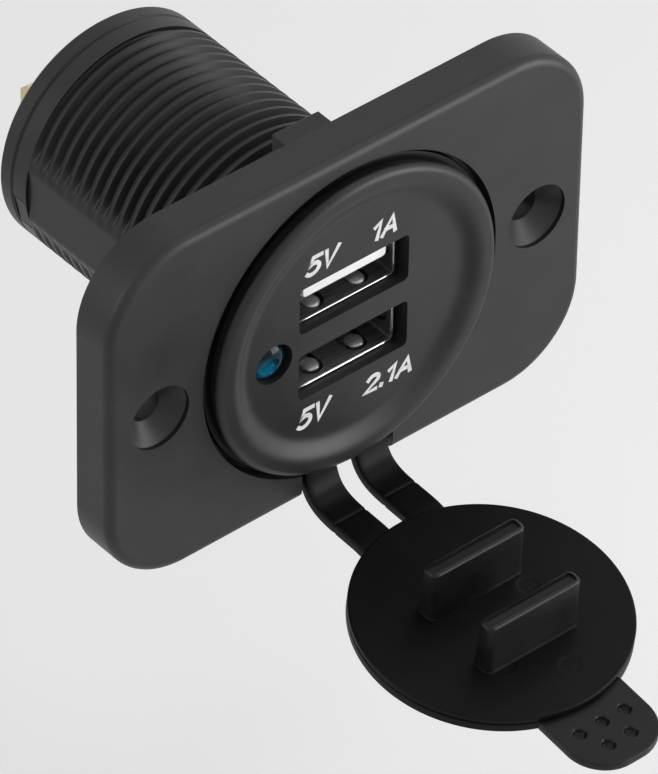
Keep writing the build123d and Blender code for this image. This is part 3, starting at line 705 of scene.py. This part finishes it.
def arc_points(x: float, y: float, reach_x: float, reach_y: float, start: float, end: float) -> np.ndarray:
    """Points of an ellipse's arc: the centre plus each reach along the cosine and sine of the angle.

    Args:
        x: centre across.
        y: centre up.
        reach_x: reach across.
        reach_y: reach up.
        start: first angle in degrees.
        end: last angle in degrees.

    Returns:
        16 by 2 array.
    """
    turn = np.radians(np.linspace(start, end, 16))
    return np.stack([x + reach_x * np.cos(turn), y + reach_y * np.sin(turn)], axis=-1)


def glyph(mark: str) -> tuple[float, list[np.ndarray]]:
    """Pen strokes of one character, 1 high.

    Args:
        mark: the character.

    Returns:
        Its width, and its strokes as arrays of points.
    """
    if mark == "5":
        bowl = arc_points(0.27, 0.32, 0.33, 0.32, 118, -140)
        return 0.62, [np.vstack([[(0.58, 1.0), (0.13, 1.0), (0.06, 0.53)], bowl])]
    if mark == "2":
        hook = arc_points(0.31, 0.72, 0.29, 0.28, 165, -28)
        return 0.64, [np.vstack([hook, [(0.02, 0.0), (0.62, 0.0)]])]
    if mark == "1":
        return 0.36, [np.array([(0.0, 0.76), (0.28, 1.0), (0.28, 0.0)])]
    if mark == "A":
        legs = np.array([(0.0, 0.0), (0.36, 1.0), (0.72, 0.0)])
        return 0.76, [legs, np.array([(0.12, 0.32), (0.60, 0.32)])]
    if mark == "V":
        return 0.70, [np.array([(0.0, 1.0), (0.3, 0.0), (0.66, 1.0)])]
    return 0.1, [np.array([(0.05, 0.0), (0.05, 0.09)])]


@dataclass
class RatingPrint:
    """White ratings printed on the socket's face, in a thin slanted single-stroke sans."""

    face: float = -5.655
    sunk: float = 0.02
    thickness: float = 0.022
    thinner: float = 0.12
    slant: float = 0.24
    pen: float = 0.52
    end_share: float = 0.4
    miter: float = 1.5
    gap: float = 0.22
    # Text, left, right, bottom and top of each mark
    marks: tuple[tuple[str, float, float, float, float], ...] = (
        ("5V", -6.6, -1.9, 8.6, 11.2),
        ("1A", 2.35, 5.5, 8.7, 11.3),
        ("5V", -7.4, -2.7, -11.4, -8.7),
        ("2.1A", 1.4, 8.0, -11.4, -9.0),
    )

    def ribbon(self, path: np.ndarray, lift: float) -> np.ndarray:
        """Widens a pen path to a flat ribbon with closed ends.

        Each point moves to both sides along the sum of its neighbours' unit normals, lengthened so that the
        edges stay parallel to the path, but by no more than the miter's limit times the pen's half width. The
        ends reach a share of the pen's width further.

        Args:
            path: points by 2 array of x and z.
            lift: how far the ribbon's front stands from the face.

        Returns:
            rows by 4 by 3 array, its first and last rows drawn together.
        """
        step = np.diff(path, axis=0)
        step /= np.linalg.norm(step, axis=1, keepdims=True)
        run = path.copy()
        run[0] -= step[0] * self.pen * self.end_share
        run[-1] += step[-1] * self.pen * self.end_share
        normal = np.stack([-step[:, 1], step[:, 0]], axis=-1)
        before, after = np.vstack([normal[:1], normal]), np.vstack([normal, normal[-1:]])
        side = (before + after) / np.maximum(1 + np.sum(before * after, axis=1, keepdims=True), 0.2)
        side *= np.minimum(1.0, self.miter / np.maximum(np.linalg.norm(side, axis=1, keepdims=True), 1e-6))
        left, right = run + side * self.pen / 2, run - side * self.pen / 2
        rows = np.stack([left, right, right, left], axis=1)
        depth = self.face + np.array([-lift, -lift, self.sunk, self.sunk])
        depth = np.broadcast_to(depth, rows.shape[:2])
        return closed_ends(np.stack([rows[..., 0], depth, rows[..., 1]], axis=-1))

    def strokes(self, text: str, left: float, right: float, low: float, high: float) -> list[np.ndarray]:
        """Lays a mark's strokes side by side, slants them and fits them in the mark's box.

        Strokes that cross are printed a little thicker or thinner, so that no two fronts share a plane.

        Args:
            text: the mark.
            left: lowest x.
            right: highest x.
            low: lowest z.
            high: highest z.

        Returns:
            One ribbon for each stroke.
        """
        pen_at = 0.0
        paths = []
        for mark in text:
            width, shapes = glyph(mark)
            paths += [shape + (pen_at, 0.0) for shape in shapes]
            pen_at += width + self.gap
        paths = [np.c_[path[:, 0] + self.slant * path[:, 1], path[:, 1]] for path in paths]
        every = np.vstack(paths)
        start, span = every.min(axis=0), np.ptp(every, axis=0)
        room = np.array([right - left, high - low]) - self.pen
        corner = np.array([left, low]) + self.pen / 2
        lifts = self.thickness * (1 - self.thinner * (np.arange(len(paths)) % 3))
        placed = [corner + (path - start) / span * room for path in paths]
        return [self.ribbon(path, lift) for path, lift in zip(placed, lifts)]

    def build(self) -> Piece:
        """Joins the strokes of the four marks in one thin piece.

        Returns:
            The print.
        """
        ribbons = [ribbon for mark in self.marks for ribbon in self.strokes(*mark)]
        quads = []
        first = 0
        for ribbon in ribbons:
            quads.append(first + quad_corners(*ribbon.shape[:2], False, True))
            first += ribbon.shape[0] * ribbon.shape[1]
        points = np.vstack([ribbon.reshape(-1, 3) for ribbon in ribbons])
        printed = mesh_piece("rating_print", points, np.vstack(quads))
        return dress(printed, Finish.INK)


@dataclass
class PortTrim:
    """Trim of one port: its shell's bright rolled lip and two bowed fingers, and its tongue's nose."""

    name: str
    height: float
    lip: float
    half_width: float = 6.55
    half_height: float = 2.85
    front: float = -4.2
    sheet: float = 0.3
    lip_set: float = 0.02
    lip_corner: float = 0.5
    lip_fade: float = 0.4
    lip_fade_x: float = 1.1
    lip_fade_z: float = 1.0
    lip_thinned: float = 0.9
    finger_offset: float = 2.95
    finger_half: float = 1.0
    finger_tip: float = -3.3
    finger_root: float = 2.2
    finger_reach: float = 1.1
    finger_drop: float = 0.36
    finger_rise: float = 0.12
    finger_edge: float = 0.05
    finger_shift: float = 0.0
    side_slack: float = 0.02
    tip_slack: float = 0.05
    root_slack: float = 0.4
    floor_band: float = 0.1
    drop_slack: float = 0.06
    nose_front: float = -4.1
    nose_length: float = 0.8
    nose_half: float = 5.5
    nose_half_height: float = 0.9
    nose_corner: float = 0.5
    nose_edge: float = 0.12
    nose_lift: float = 0.97

    @property
    def floor(self) -> float:
        """Height of the shell's floor inside."""
        return self.height - self.half_height + self.sheet

    def rim(self) -> Piece:
        """Carries a small round section round the shell's mouth.

        Rings of the rounded rectangle grow and shrink by the cosine of the section's angle, and move along
        the barrel by its sine. The section thins out at the folded corners.

        Returns:
            The lip.
        """
        across, up = self.half_width - self.sheet / 2, self.half_height - self.sheet / 2
        angle = np.arange(12) * 2 * math.pi / 12
        grow = self.lip / 2 * np.cos(angle)
        line = rounded_rings(across, up, self.lip_corner, 160)
        rings = rounded_rings(across + grow, up + grow, self.lip_corner + grow, 160)
        beside = smoothstep((np.abs(line[..., 0]) - across + self.lip_fade_x) / self.lip_fade)
        above = smoothstep((np.abs(line[..., 1]) - up + self.lip_fade_z) / self.lip_fade)
        thin = 1 - self.lip_thinned * (beside * above)
        rings = line + (rings - line) * thin[..., None]
        depth = self.front + self.lip_set + self.lip / 2 * np.sin(angle)[:, None] * thin
        points = np.stack([rings[..., 0], depth, rings[..., 1] + self.height], axis=-1)
        lip = grid_piece(f"{self.name}_port_lip", points, wrap_rows=True)
        return dress(lip, Finish.STEEL)

    def finger(self, side: int) -> Piece:
        """Bows the tip of one finger of the shell's floor.

        Its top is half an ellipsoid: the height is the root of one less the squares of the shares of its
        reach across and along. Its underside is flat.

        Args:
            side: -1 for the left finger, 1 for the right one.

        Returns:
            The finger's bowed tip.
        """
        low = self.floor - self.finger_drop
        bend = np.linspace(-math.pi / 2, math.pi / 2, 33)[:, None]
        along, reach = np.sin(bend), np.maximum(np.cos(bend), 1e-4)
        across = np.sin(np.linspace(-math.pi / 2, math.pi / 2, 25))
        x = self.finger_half * reach * across
        dome = np.sqrt(np.maximum(1 - along**2 - (x / self.finger_half) ** 2, 0.0))
        top = low + (self.finger_drop + self.finger_rise) * dome
        loop_x = np.hstack([x, x[:, ::-1]]) + (side * self.finger_offset + self.finger_shift)
        loop_z = np.hstack([top, np.full_like(top, low - self.finger_edge)])
        loop_y = np.broadcast_to(self.finger_tip + self.finger_reach * (1 + along), loop_x.shape)
        points = closed_ends(np.stack([loop_x, loop_y, loop_z], axis=-1))
        word = "right" if side > 0 else "left"
        finger = grid_piece(f"{self.name}_port_finger_{word}", points)
        return dress(finger, Finish.SPRING)

    def lowered(self, points: np.ndarray) -> np.ndarray:
        """Lowers the floor within a finger's strip and behind its tip, so that the bowed fingers stand free.

        Args:
            points: points by 3 array in millimetres.

        Returns:
            The moved points.
        """
        x, y, z = points.T
        in_strip = np.abs(np.abs(x) - self.finger_offset) < self.finger_half - self.side_slack
        along = (y > self.finger_tip - self.tip_slack) & (y < self.finger_root - self.root_slack)
        moving = in_strip & along & (z < self.floor + self.floor_band)
        return np.stack([x, y, z - np.where(moving, self.finger_drop + self.drop_slack, 0.0)], axis=-1)

    def folded(self, node: Piece) -> Piece:
        """Copies the CAD shell with the floor's flat fingers lowered.

        Args:
            node: the CAD shell.

        Returns:
            The shell that stands for it.
        """
        body = moved_copy(f"{self.name}_port_body", node, self.lowered)
        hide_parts(f"{self.name}_port_shell")
        # The shell takes the darker nickel, which is painted shade
        return dress(body, Finish.SHELL)

    def nose(self) -> Piece:
        """Moulds the tongue's front: a white bar with rounded ends and eased edges.

        Rings of a rounded rectangle follow a quarter circle over the front edge, and one stands further back.

        Returns:
            The nose.
        """
        e = self.nose_edge
        bend = np.linspace(0, math.pi / 2, 6)
        grow = np.r_[-e + e * np.sin(bend), 0.0]
        depth = np.r_[self.nose_front + e - e * np.cos(bend), self.nose_front + self.nose_length]
        rings = rounded_rings(
            self.nose_half + grow, self.nose_half_height + grow, self.nose_corner + grow, 100
        )
        points = raised(rings, depth)[..., [0, 2, 1]] + (0.0, 0.0, self.height + self.nose_lift)
        name = f"{self.name}_tongue_nose"
        bar = grid_piece(name, closed_ends(points))
        return dress(bar, Finish.INSULATOR)

    def build(self, frame: dict) -> list[Piece]:
        """Builds the folded body, the lip, both fingers and the tongue's nose.


        Returns:
            The five pieces.
        """
        body = self.folded(frame["nodes"][f"{self.name}_port_shell"])
        return [body, self.rim(), self.finger(-1), self.finger(1), self.nose()]


@dataclass
class RubberStrap:
    """One bent strap, moulded in one piece from the ring behind the flange to the cap's edge."""

    side: int
    inner: float = 1.25
    outer: float = 5.45
    thickness: float = 1.45
    edge: float = 0.3
    hinge_z: float = -22.5
    crease_at: float = -9.65
    crease_width: float = 0.16
    crease_depth: float = 0.13
    sections: int = 150
    around: int = 32
    smoothing: int = 60
    # Depth and height of the middle line's corners
    corners: tuple[tuple[float, float], ...] = (
        (-4.0, -16.2), (-4.05, -18.4), (-4.6, -20.4), (-5.3, -21.7), (-6.5, -22.5),
        (-7.9, -22.85), (-10.0, -23.0), (-13.2, -23.1), (-14.6, -23.45), (-16.5, -23.75),
    )

    def path(self) -> tuple[np.ndarray, np.ndarray]:
        """Middle line of the strap in depth and height.

        The corner points of the bent strap are joined by straight runs, resampled by arc length and smoothed
        by repeated averaging of neighbours, so every bend is round.

        Returns:
            Points and unit normals, each sections by 2.
        """
        corners = np.array(self.corners)
        steps = np.r_[0.0, np.cumsum(np.hypot(*np.diff(corners, axis=0).T))]
        even = np.linspace(0, steps[-1], self.sections)
        line = np.stack([np.interp(even, steps, places) for places in corners.T], axis=-1)
        for _ in range(self.smoothing):
            line[1:-1] = 0.25 * line[:-2] + 0.5 * line[1:-1] + 0.25 * line[2:]
        along = np.gradient(line, axis=0)
        along /= np.linalg.norm(along, axis=1, keepdims=True)
        return line, np.stack([along[:, 1], -along[:, 0]], axis=-1)

    def build(self) -> Piece:
        """Sweeps a rounded rectangle along the path, thinner at the crease, and bends it over the hinge.

        Returns:
            The strap.
        """
        line, normal = self.path()
        half = (self.outer - self.inner) / 2
        section = rounded_rings(half, self.thickness / 2, self.edge, self.around)[0]
        crease = self.crease_depth * np.exp(-(((line[:, :1] - self.crease_at) / self.crease_width) ** 2))
        close = np.ones((self.sections, 1))
        close[[0, -1]] = 0.0
        thick = (section[:, 1] - crease * np.sign(section[:, 1])) * close
        x = self.side * (self.inner + half) + section[:, 0] * close
        points = np.dstack([x, line[:, None] + normal[:, None] * thick[..., None]])
        name = "strap_right" if self.side > 0 else "strap_left"
        strap = grid_piece(name, points)
        dress(strap, Finish.RUBBER, None)
        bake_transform(strap)
        return strap


@dataclass
class StrapRing:
    """Rubber washer under the flange that the straps grow from."""

    inner: float = 14.0
    outer: float = 18.9
    front: float = -4.6
    back: float = -3.4
    edge: float = 0.25

    def build(self) -> Piece:
        """Turns a rounded rectangle about the barrel's axis.

        Returns:
            The washer.
        """
        half_x, half_y = (self.outer - self.inner) / 2, (self.back - self.front) / 2
        middle = np.array([(self.inner + self.outer) / 2, (self.front + self.back) / 2])
        section = middle + rounded_rings(half_x, half_y, self.edge, 32)[0]
        washer = grid_piece("rubber_washer", turned(section, 160), wrap_rows=True)
        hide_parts("strap_ring")
        return dress(washer, Finish.RUBBER)


@dataclass(frozen=True)
class Hollows:
    """Round hollows of one size in a flat top, such as ejector marks or dimples."""

    places: tuple[tuple[float, float], ...]
    radius: float
    edge: float
    depth: float
    flat: float = 0.01

    def press(self, local: np.ndarray, top: float) -> None:
        """Lowers a flat top by the smooth step of the distance inside a hollow's radius over its edge.

        Args:
            local: rows by points by 3 array, changed in place.
            top: height of the flat top.
        """
        for x, away in self.places:
            reach = np.hypot(local[..., 0] - x, local[..., 1] - away)
            hollow = smoothstep((self.radius - reach) / self.edge) * self.depth
            local[..., 2] -= np.where(local[..., 2] > top - self.flat, hollow, 0.0)


@dataclass
class SealingCap:
    """Rubber cap that hangs from the straps: two-layer disc, pull tab and two port plugs."""

    middle_y: float = -28.14
    middle_z: float = -24.17
    tilt: float = 7.07
    radius: float = 14.83
    thickness: float = 1.9
    liner: float = 0.7
    groove: float = 0.16
    groove_depth: float = 0.5
    groove_lip: float = 0.08
    edge: float = 0.22
    marks: Hollows = Hollows(((5.3, -0.5), (-3.8, 6.4), (1.7, 10.25)), 1.25, 0.2, 0.06)
    tab_half: float = 5.45
    tab_start: float = 9.0
    tab_reach: float = 22.9
    tab_corner: float = 4.6
    tab_edge: float = 0.2
    tab_above: float = 0.04
    dimples: Hollows = Hollows(
        ((-3.0, 17.35), (0.0, 17.35), (3.0, 17.35), (-1.5, 20.1), (1.5, 20.1)), 0.8, 0.3, 0.5
    )
    plug_half: float = 6.2
    plug_height: float = 6.2
    plug_base: float = 2.5
    plug_tip: float = 1.95
    plug_corner: float = 0.75
    plug_edge: float = 0.4
    plug_wall: float = 0.34
    plug_hollow: float = 0.28

    def placed(self, local: np.ndarray) -> np.ndarray:
        """Turns points from the cap's own axes into the frame's.

        Args:
            local: points as x, distance from the cap's middle away from the straps, and height.

        Returns:
            Points in the frame's axes.
        """
        turn = math.radians(self.tilt)
        x, away, height = local[..., 0], local[..., 1], local[..., 2]
        y = self.middle_y - away * math.cos(turn) - height * math.sin(turn)
        z = self.middle_z - away * math.sin(turn) + height * math.cos(turn)
        return np.stack([x, y, z], axis=-1)

    def disc(self) -> Piece:
        """Turns the disc's profile, with ejector marks as shallow rings in the top.

        The profile runs from the top's middle over the rounded rim, into the groove between the two layers,
        out again and to the middle of the bottom.

        Returns:
            The disc.
        """
        r, e, lip = self.radius, self.edge, self.groove_lip
        bend = np.linspace(0, math.pi / 2, 7)
        top = np.stack([np.linspace(0, r - e, 90), np.zeros(90)], axis=-1)
        upper = np.stack([r - e + e * np.sin(bend), -e + e * np.cos(bend)], axis=-1)
        high, low, floor = -self.liner, -self.liner - self.groove, r - self.groove_depth
        groove = [
            (r, high + lip), (r - lip, high), (floor, high), (floor, low), (r - lip, low), (r, low - lip)
        ]
        lower = np.stack([r - e + e * np.cos(bend), -self.thickness + e - e * np.sin(bend)], axis=-1)
        profile = np.vstack([top, upper, groove, lower, [(0.0, -self.thickness)]])
        local = turned(profile, 256)[..., [0, 2, 1]]
        self.marks.press(local, 0.0)
        return grid_piece("cap_disc", self.placed(local))

    def tab(self) -> Piece:
        """Grows rings of the tab's outline over its top, edge and bottom, with five dimples in the top.

        A ring is the outline shrunk towards the tab's middle. The underside stays a little above the disc's.

        Returns:
            The tab.
        """
        half_w, e = (self.tab_reach - self.tab_start) / 2, self.tab_edge
        top, low = -self.liner - self.groove, self.tab_above - self.thickness
        bend = np.linspace(0, math.pi / 2, 6)
        inner = rounded_rings(self.tab_half - e, half_w - e, self.tab_corner - e, 320)
        grow = np.r_[e * np.sin(bend[1:]), e * np.cos(bend)] - e
        edge = rounded_rings(self.tab_half + grow, half_w + grow, self.tab_corner + grow, 320)
        shares = np.linspace(0.0, 1.0, 80)[:, None, None]
        plan = np.vstack([shares * inner, edge, np.zeros((1, 320, 2))])
        height = np.r_[np.full(80, top), top - e + e * np.cos(bend[1:]), low + e - e * np.sin(bend), low]
        local = raised(plan, height)
        local[..., 1] += (self.tab_reach + self.tab_start) / 2
        self.dimples.press(local, top)
        return grid_piece("cap_tab", self.placed(local))

    def plug(self, name: str, near: float) -> Piece:
        """Lofts one plug from its base to its rounded tip and down into the tip's hollow.

        Each ring is a rounded rectangle whose thickness falls evenly with height while its near side stays
        upright. The rings widen a little at the base, and shrink over the tip's rounded edge and again to the
        hollow, whose wall stands upright.

        Args:
            name: name of the piece.
            near: distance of its near side from the cap's middle, away from the straps.

        Returns:
            The plug.
        """
        high, e, wall = self.plug_height, self.plug_edge, -self.plug_wall
        bend = np.linspace(0, math.pi / 2, 7)
        tip = high - e + e * np.sin(bend)
        height = np.r_[-0.3, 0.0, 0.12, 0.4, 3.0, tip, high - 0.02, high - 0.1, high - self.plug_hollow]
        grow = np.r_[0.1, 0.1, 0.04, 0.0, 0.0, -e + e * np.cos(bend), wall + 0.04, wall, wall - 0.03]
        thick = self.plug_base + (self.plug_tip - self.plug_base) * np.clip(height / high, 0.0, 1.0)
        corner = np.clip(self.plug_corner + grow, 0.1, thick / 2 + grow - 0.01)
        rings = rounded_rings(self.plug_half + grow, thick / 2 + grow, corner, 120)
        rings[..., 1] += (near + thick / 2)[:, None]
        points = self.placed(closed_ends(raised(rings, height)))
        return grid_piece(name, points)

    def build(self) -> list[Piece]:
        """Builds and dresses the disc, the tab and both plugs.

        Returns:
            The four pieces.
        """
        disc, tab = self.disc(), self.tab()
        plugs = [self.plug("cap_plug_upper", 4.05), self.plug("cap_plug_lower", -4.75)]
        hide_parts("sealing_cap")
        dress(disc, Finish.RUBBER, "cap")
        # Tab and plugs take the paler copy of the rubber, which is painted light
        for piece in (tab, *plugs):
            dress(piece, Finish.TAB, "cap")
        return [disc, tab, *plugs]


@dataclass
class CadDressing:
    """Finish of every CAD node that stays shown."""

    def dress_nodes(self, frame: dict) -> None:
        """Gives each shown node the finish of its slot.
        """
        slots = {row["node"]: row["material_slot"] for row in frame["record"]["subparts"]}
        for name, node in frame["nodes"].items():
            slot = slots[name]
            node.data.materials.clear()
            node.data.materials.append(SLOT_FINISH[slot].make())
            LOG.info("%s: %s", name, slot)


@dataclass
class Studio:
    """Pale floor, soft lamps, a white backdrop and the camera at the photograph's viewing angle."""

    azimuth: float = -40.76
    elevation: float = 40.98
    roll: float = 1.155
    lens_mm: float = 496.2
    distance: float = 923.93
    target: tuple[float, float, float] = (-2.739, -5.2, -8.068)
    lamp_aim: tuple[float, float, float] = (0, 0, -8)
    floor_z: float = -67.0
    floor_half: float = 2500.0
    floor_glow: float = 0.3
    fill: float = 0.32

    def camera(self) -> None:
        """Places the camera by azimuth, elevation, roll and distance from its target."""
        a, e, t = (math.radians(v) for v in (self.azimuth, self.elevation, self.roll))
        back = Vector((math.sin(a) * math.cos(e), -math.cos(a) * math.cos(e), math.sin(e)))
        right = Vector((math.cos(a), math.sin(a), 0.0))
        up = back.cross(right)
        turned_right = right * math.cos(t) + up * math.sin(t)
        turned_up = up * math.cos(t) - right * math.sin(t)
        data = bpy.data.cameras.new("product_view")
        data.sensor_fit = "HORIZONTAL"
        data.sensor_width = 36.0
        data.lens = self.lens_mm
        data.clip_start = 0.05
        data.clip_end = 10.0
        camera = bpy.data.objects.new("product_view", data)
        place = (Vector(self.target) + back * self.distance) * METRE
        turn = Matrix((turned_right, turned_up, back)).transposed().to_4x4()
        camera.matrix_world = Matrix.Translation(place) @ turn
        bpy.context.scene.collection.objects.link(camera)
        bpy.context.scene.camera = camera

    def lamp(self, name: str, place: tuple, size: float, watts: float) -> None:
        """Adds one square soft lamp that faces the socket.

        Args:
            name: name of the lamp.
            place: its place in millimetres.
            size: its side in millimetres.
            watts: its power.
        """
        data = bpy.data.lights.new(name, "AREA")
        data.size = size * METRE
        data.energy = watts
        lamp = bpy.data.objects.new(name, data)
        start = Vector(place) * METRE
        facing = Vector(self.lamp_aim) * METRE - start
        lamp.matrix_world = Matrix.Translation(start) @ facing.to_track_quat("-Z", "Y").to_matrix().to_4x4()
        bpy.context.scene.collection.objects.link(lamp)

    def seen(self, tree: Tree) -> Socket:
        """Marks the rays that show the background.

        Args:
            tree: node tree that gets the nodes.

        Returns:
            1 for camera, transmission and glossy rays, 0 for the others.
        """
        rays = add(tree, "ShaderNodeLightPath").outputs
        seen = rays["Is Camera Ray"]
        for ray in ("Is Transmission Ray", "Is Glossy Ray"):
            seen = add(tree, "ShaderNodeMath", links={0: seen, 1: rays[ray]}, operation="MAXIMUM").outputs[0]
        return seen

    def floor(self) -> None:
        """Lays a wide pale sheet under the socket, white where the camera sees it unshaded."""
        corners = np.array([(-1, -1), (1, -1), (1, 1), (-1, 1)]) * self.floor_half
        points = np.c_[corners, np.full(4, self.floor_z)] * METRE
        mesh = bpy.data.meshes.new("studio_floor")
        mesh.from_pydata(points.tolist(), [], [(0, 1, 2, 3)])
        sheet = bpy.data.objects.new("studio_floor", mesh)
        bpy.context.scene.collection.objects.link(sheet)
        values = {"Base Color": linear("e8e8e8"), "Roughness": 0.9, "Specular IOR Level": 0.1}
        values["Emission Color"] = linear("ffffff")
        material, tree, shader = shader_start("paper_backdrop", values)
        links = {0: self.seen(tree)}
        lift = add(tree, "ShaderNodeMath", {1: self.floor_glow}, links, operation="MULTIPLY").outputs[0]
        feed(tree, shader, {"Emission Strength": lift})
        mesh.materials.append(material)

    def world(self) -> None:
        """Lights the scene softly and shows white to the camera, in gloss and through clear parts."""
        world = bpy.data.worlds.new("studio_world")
        world.use_nodes = True
        bpy.context.scene.world = world
        tree = world.node_tree
        tree.nodes.clear()
        limits = {"To Min": self.fill}
        strength = add(tree, "ShaderNodeMapRange", limits, {"Value": self.seen(tree)}).outputs[0]
        sky = add(tree, "ShaderNodeBackground", {"Color": linear("ffffff")}, {"Strength": strength})
        add(tree, "ShaderNodeOutputWorld", links={"Surface": sky.outputs[0]})

    def build(self) -> None:
        """Sets up the whole studio."""
        bpy.context.scene.view_settings.view_transform = "Standard"
        self.camera()
        self.floor()
        self.world()
        self.lamp("rear_left", (-560, 120, 250), 300, 0.86)
        self.lamp("key_right", (300, -315, 64), 270, 1.62)
        self.lamp("top_right", (280, -90, 480), 160, 0.25)


def main() -> None:
    """Builds the studio and every piece."""
    logging.basicConfig(level=logging.INFO, format="%(name)s %(message)s")
    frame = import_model()
    Studio().build()
    CadDressing().dress_nodes(frame)
    HousingShell().build(frame["nodes"]["socket_housing"])
    ThreadedBarrel().build()
    PortTrim("upper", 4.4, 0.2).build(frame)
    PortTrim("lower", -4.4, 0.34, finger_tip=-3.1, finger_shift=0.3, nose_front=-2.55).build(frame)
    RatingPrint().build()
    StrapRing().build()
    for side in (-1, 1):
        RubberStrap(side).build()
    SealingCap().build()
    bpy.context.view_layer.update()


if __name__ == "__main__":
    main()
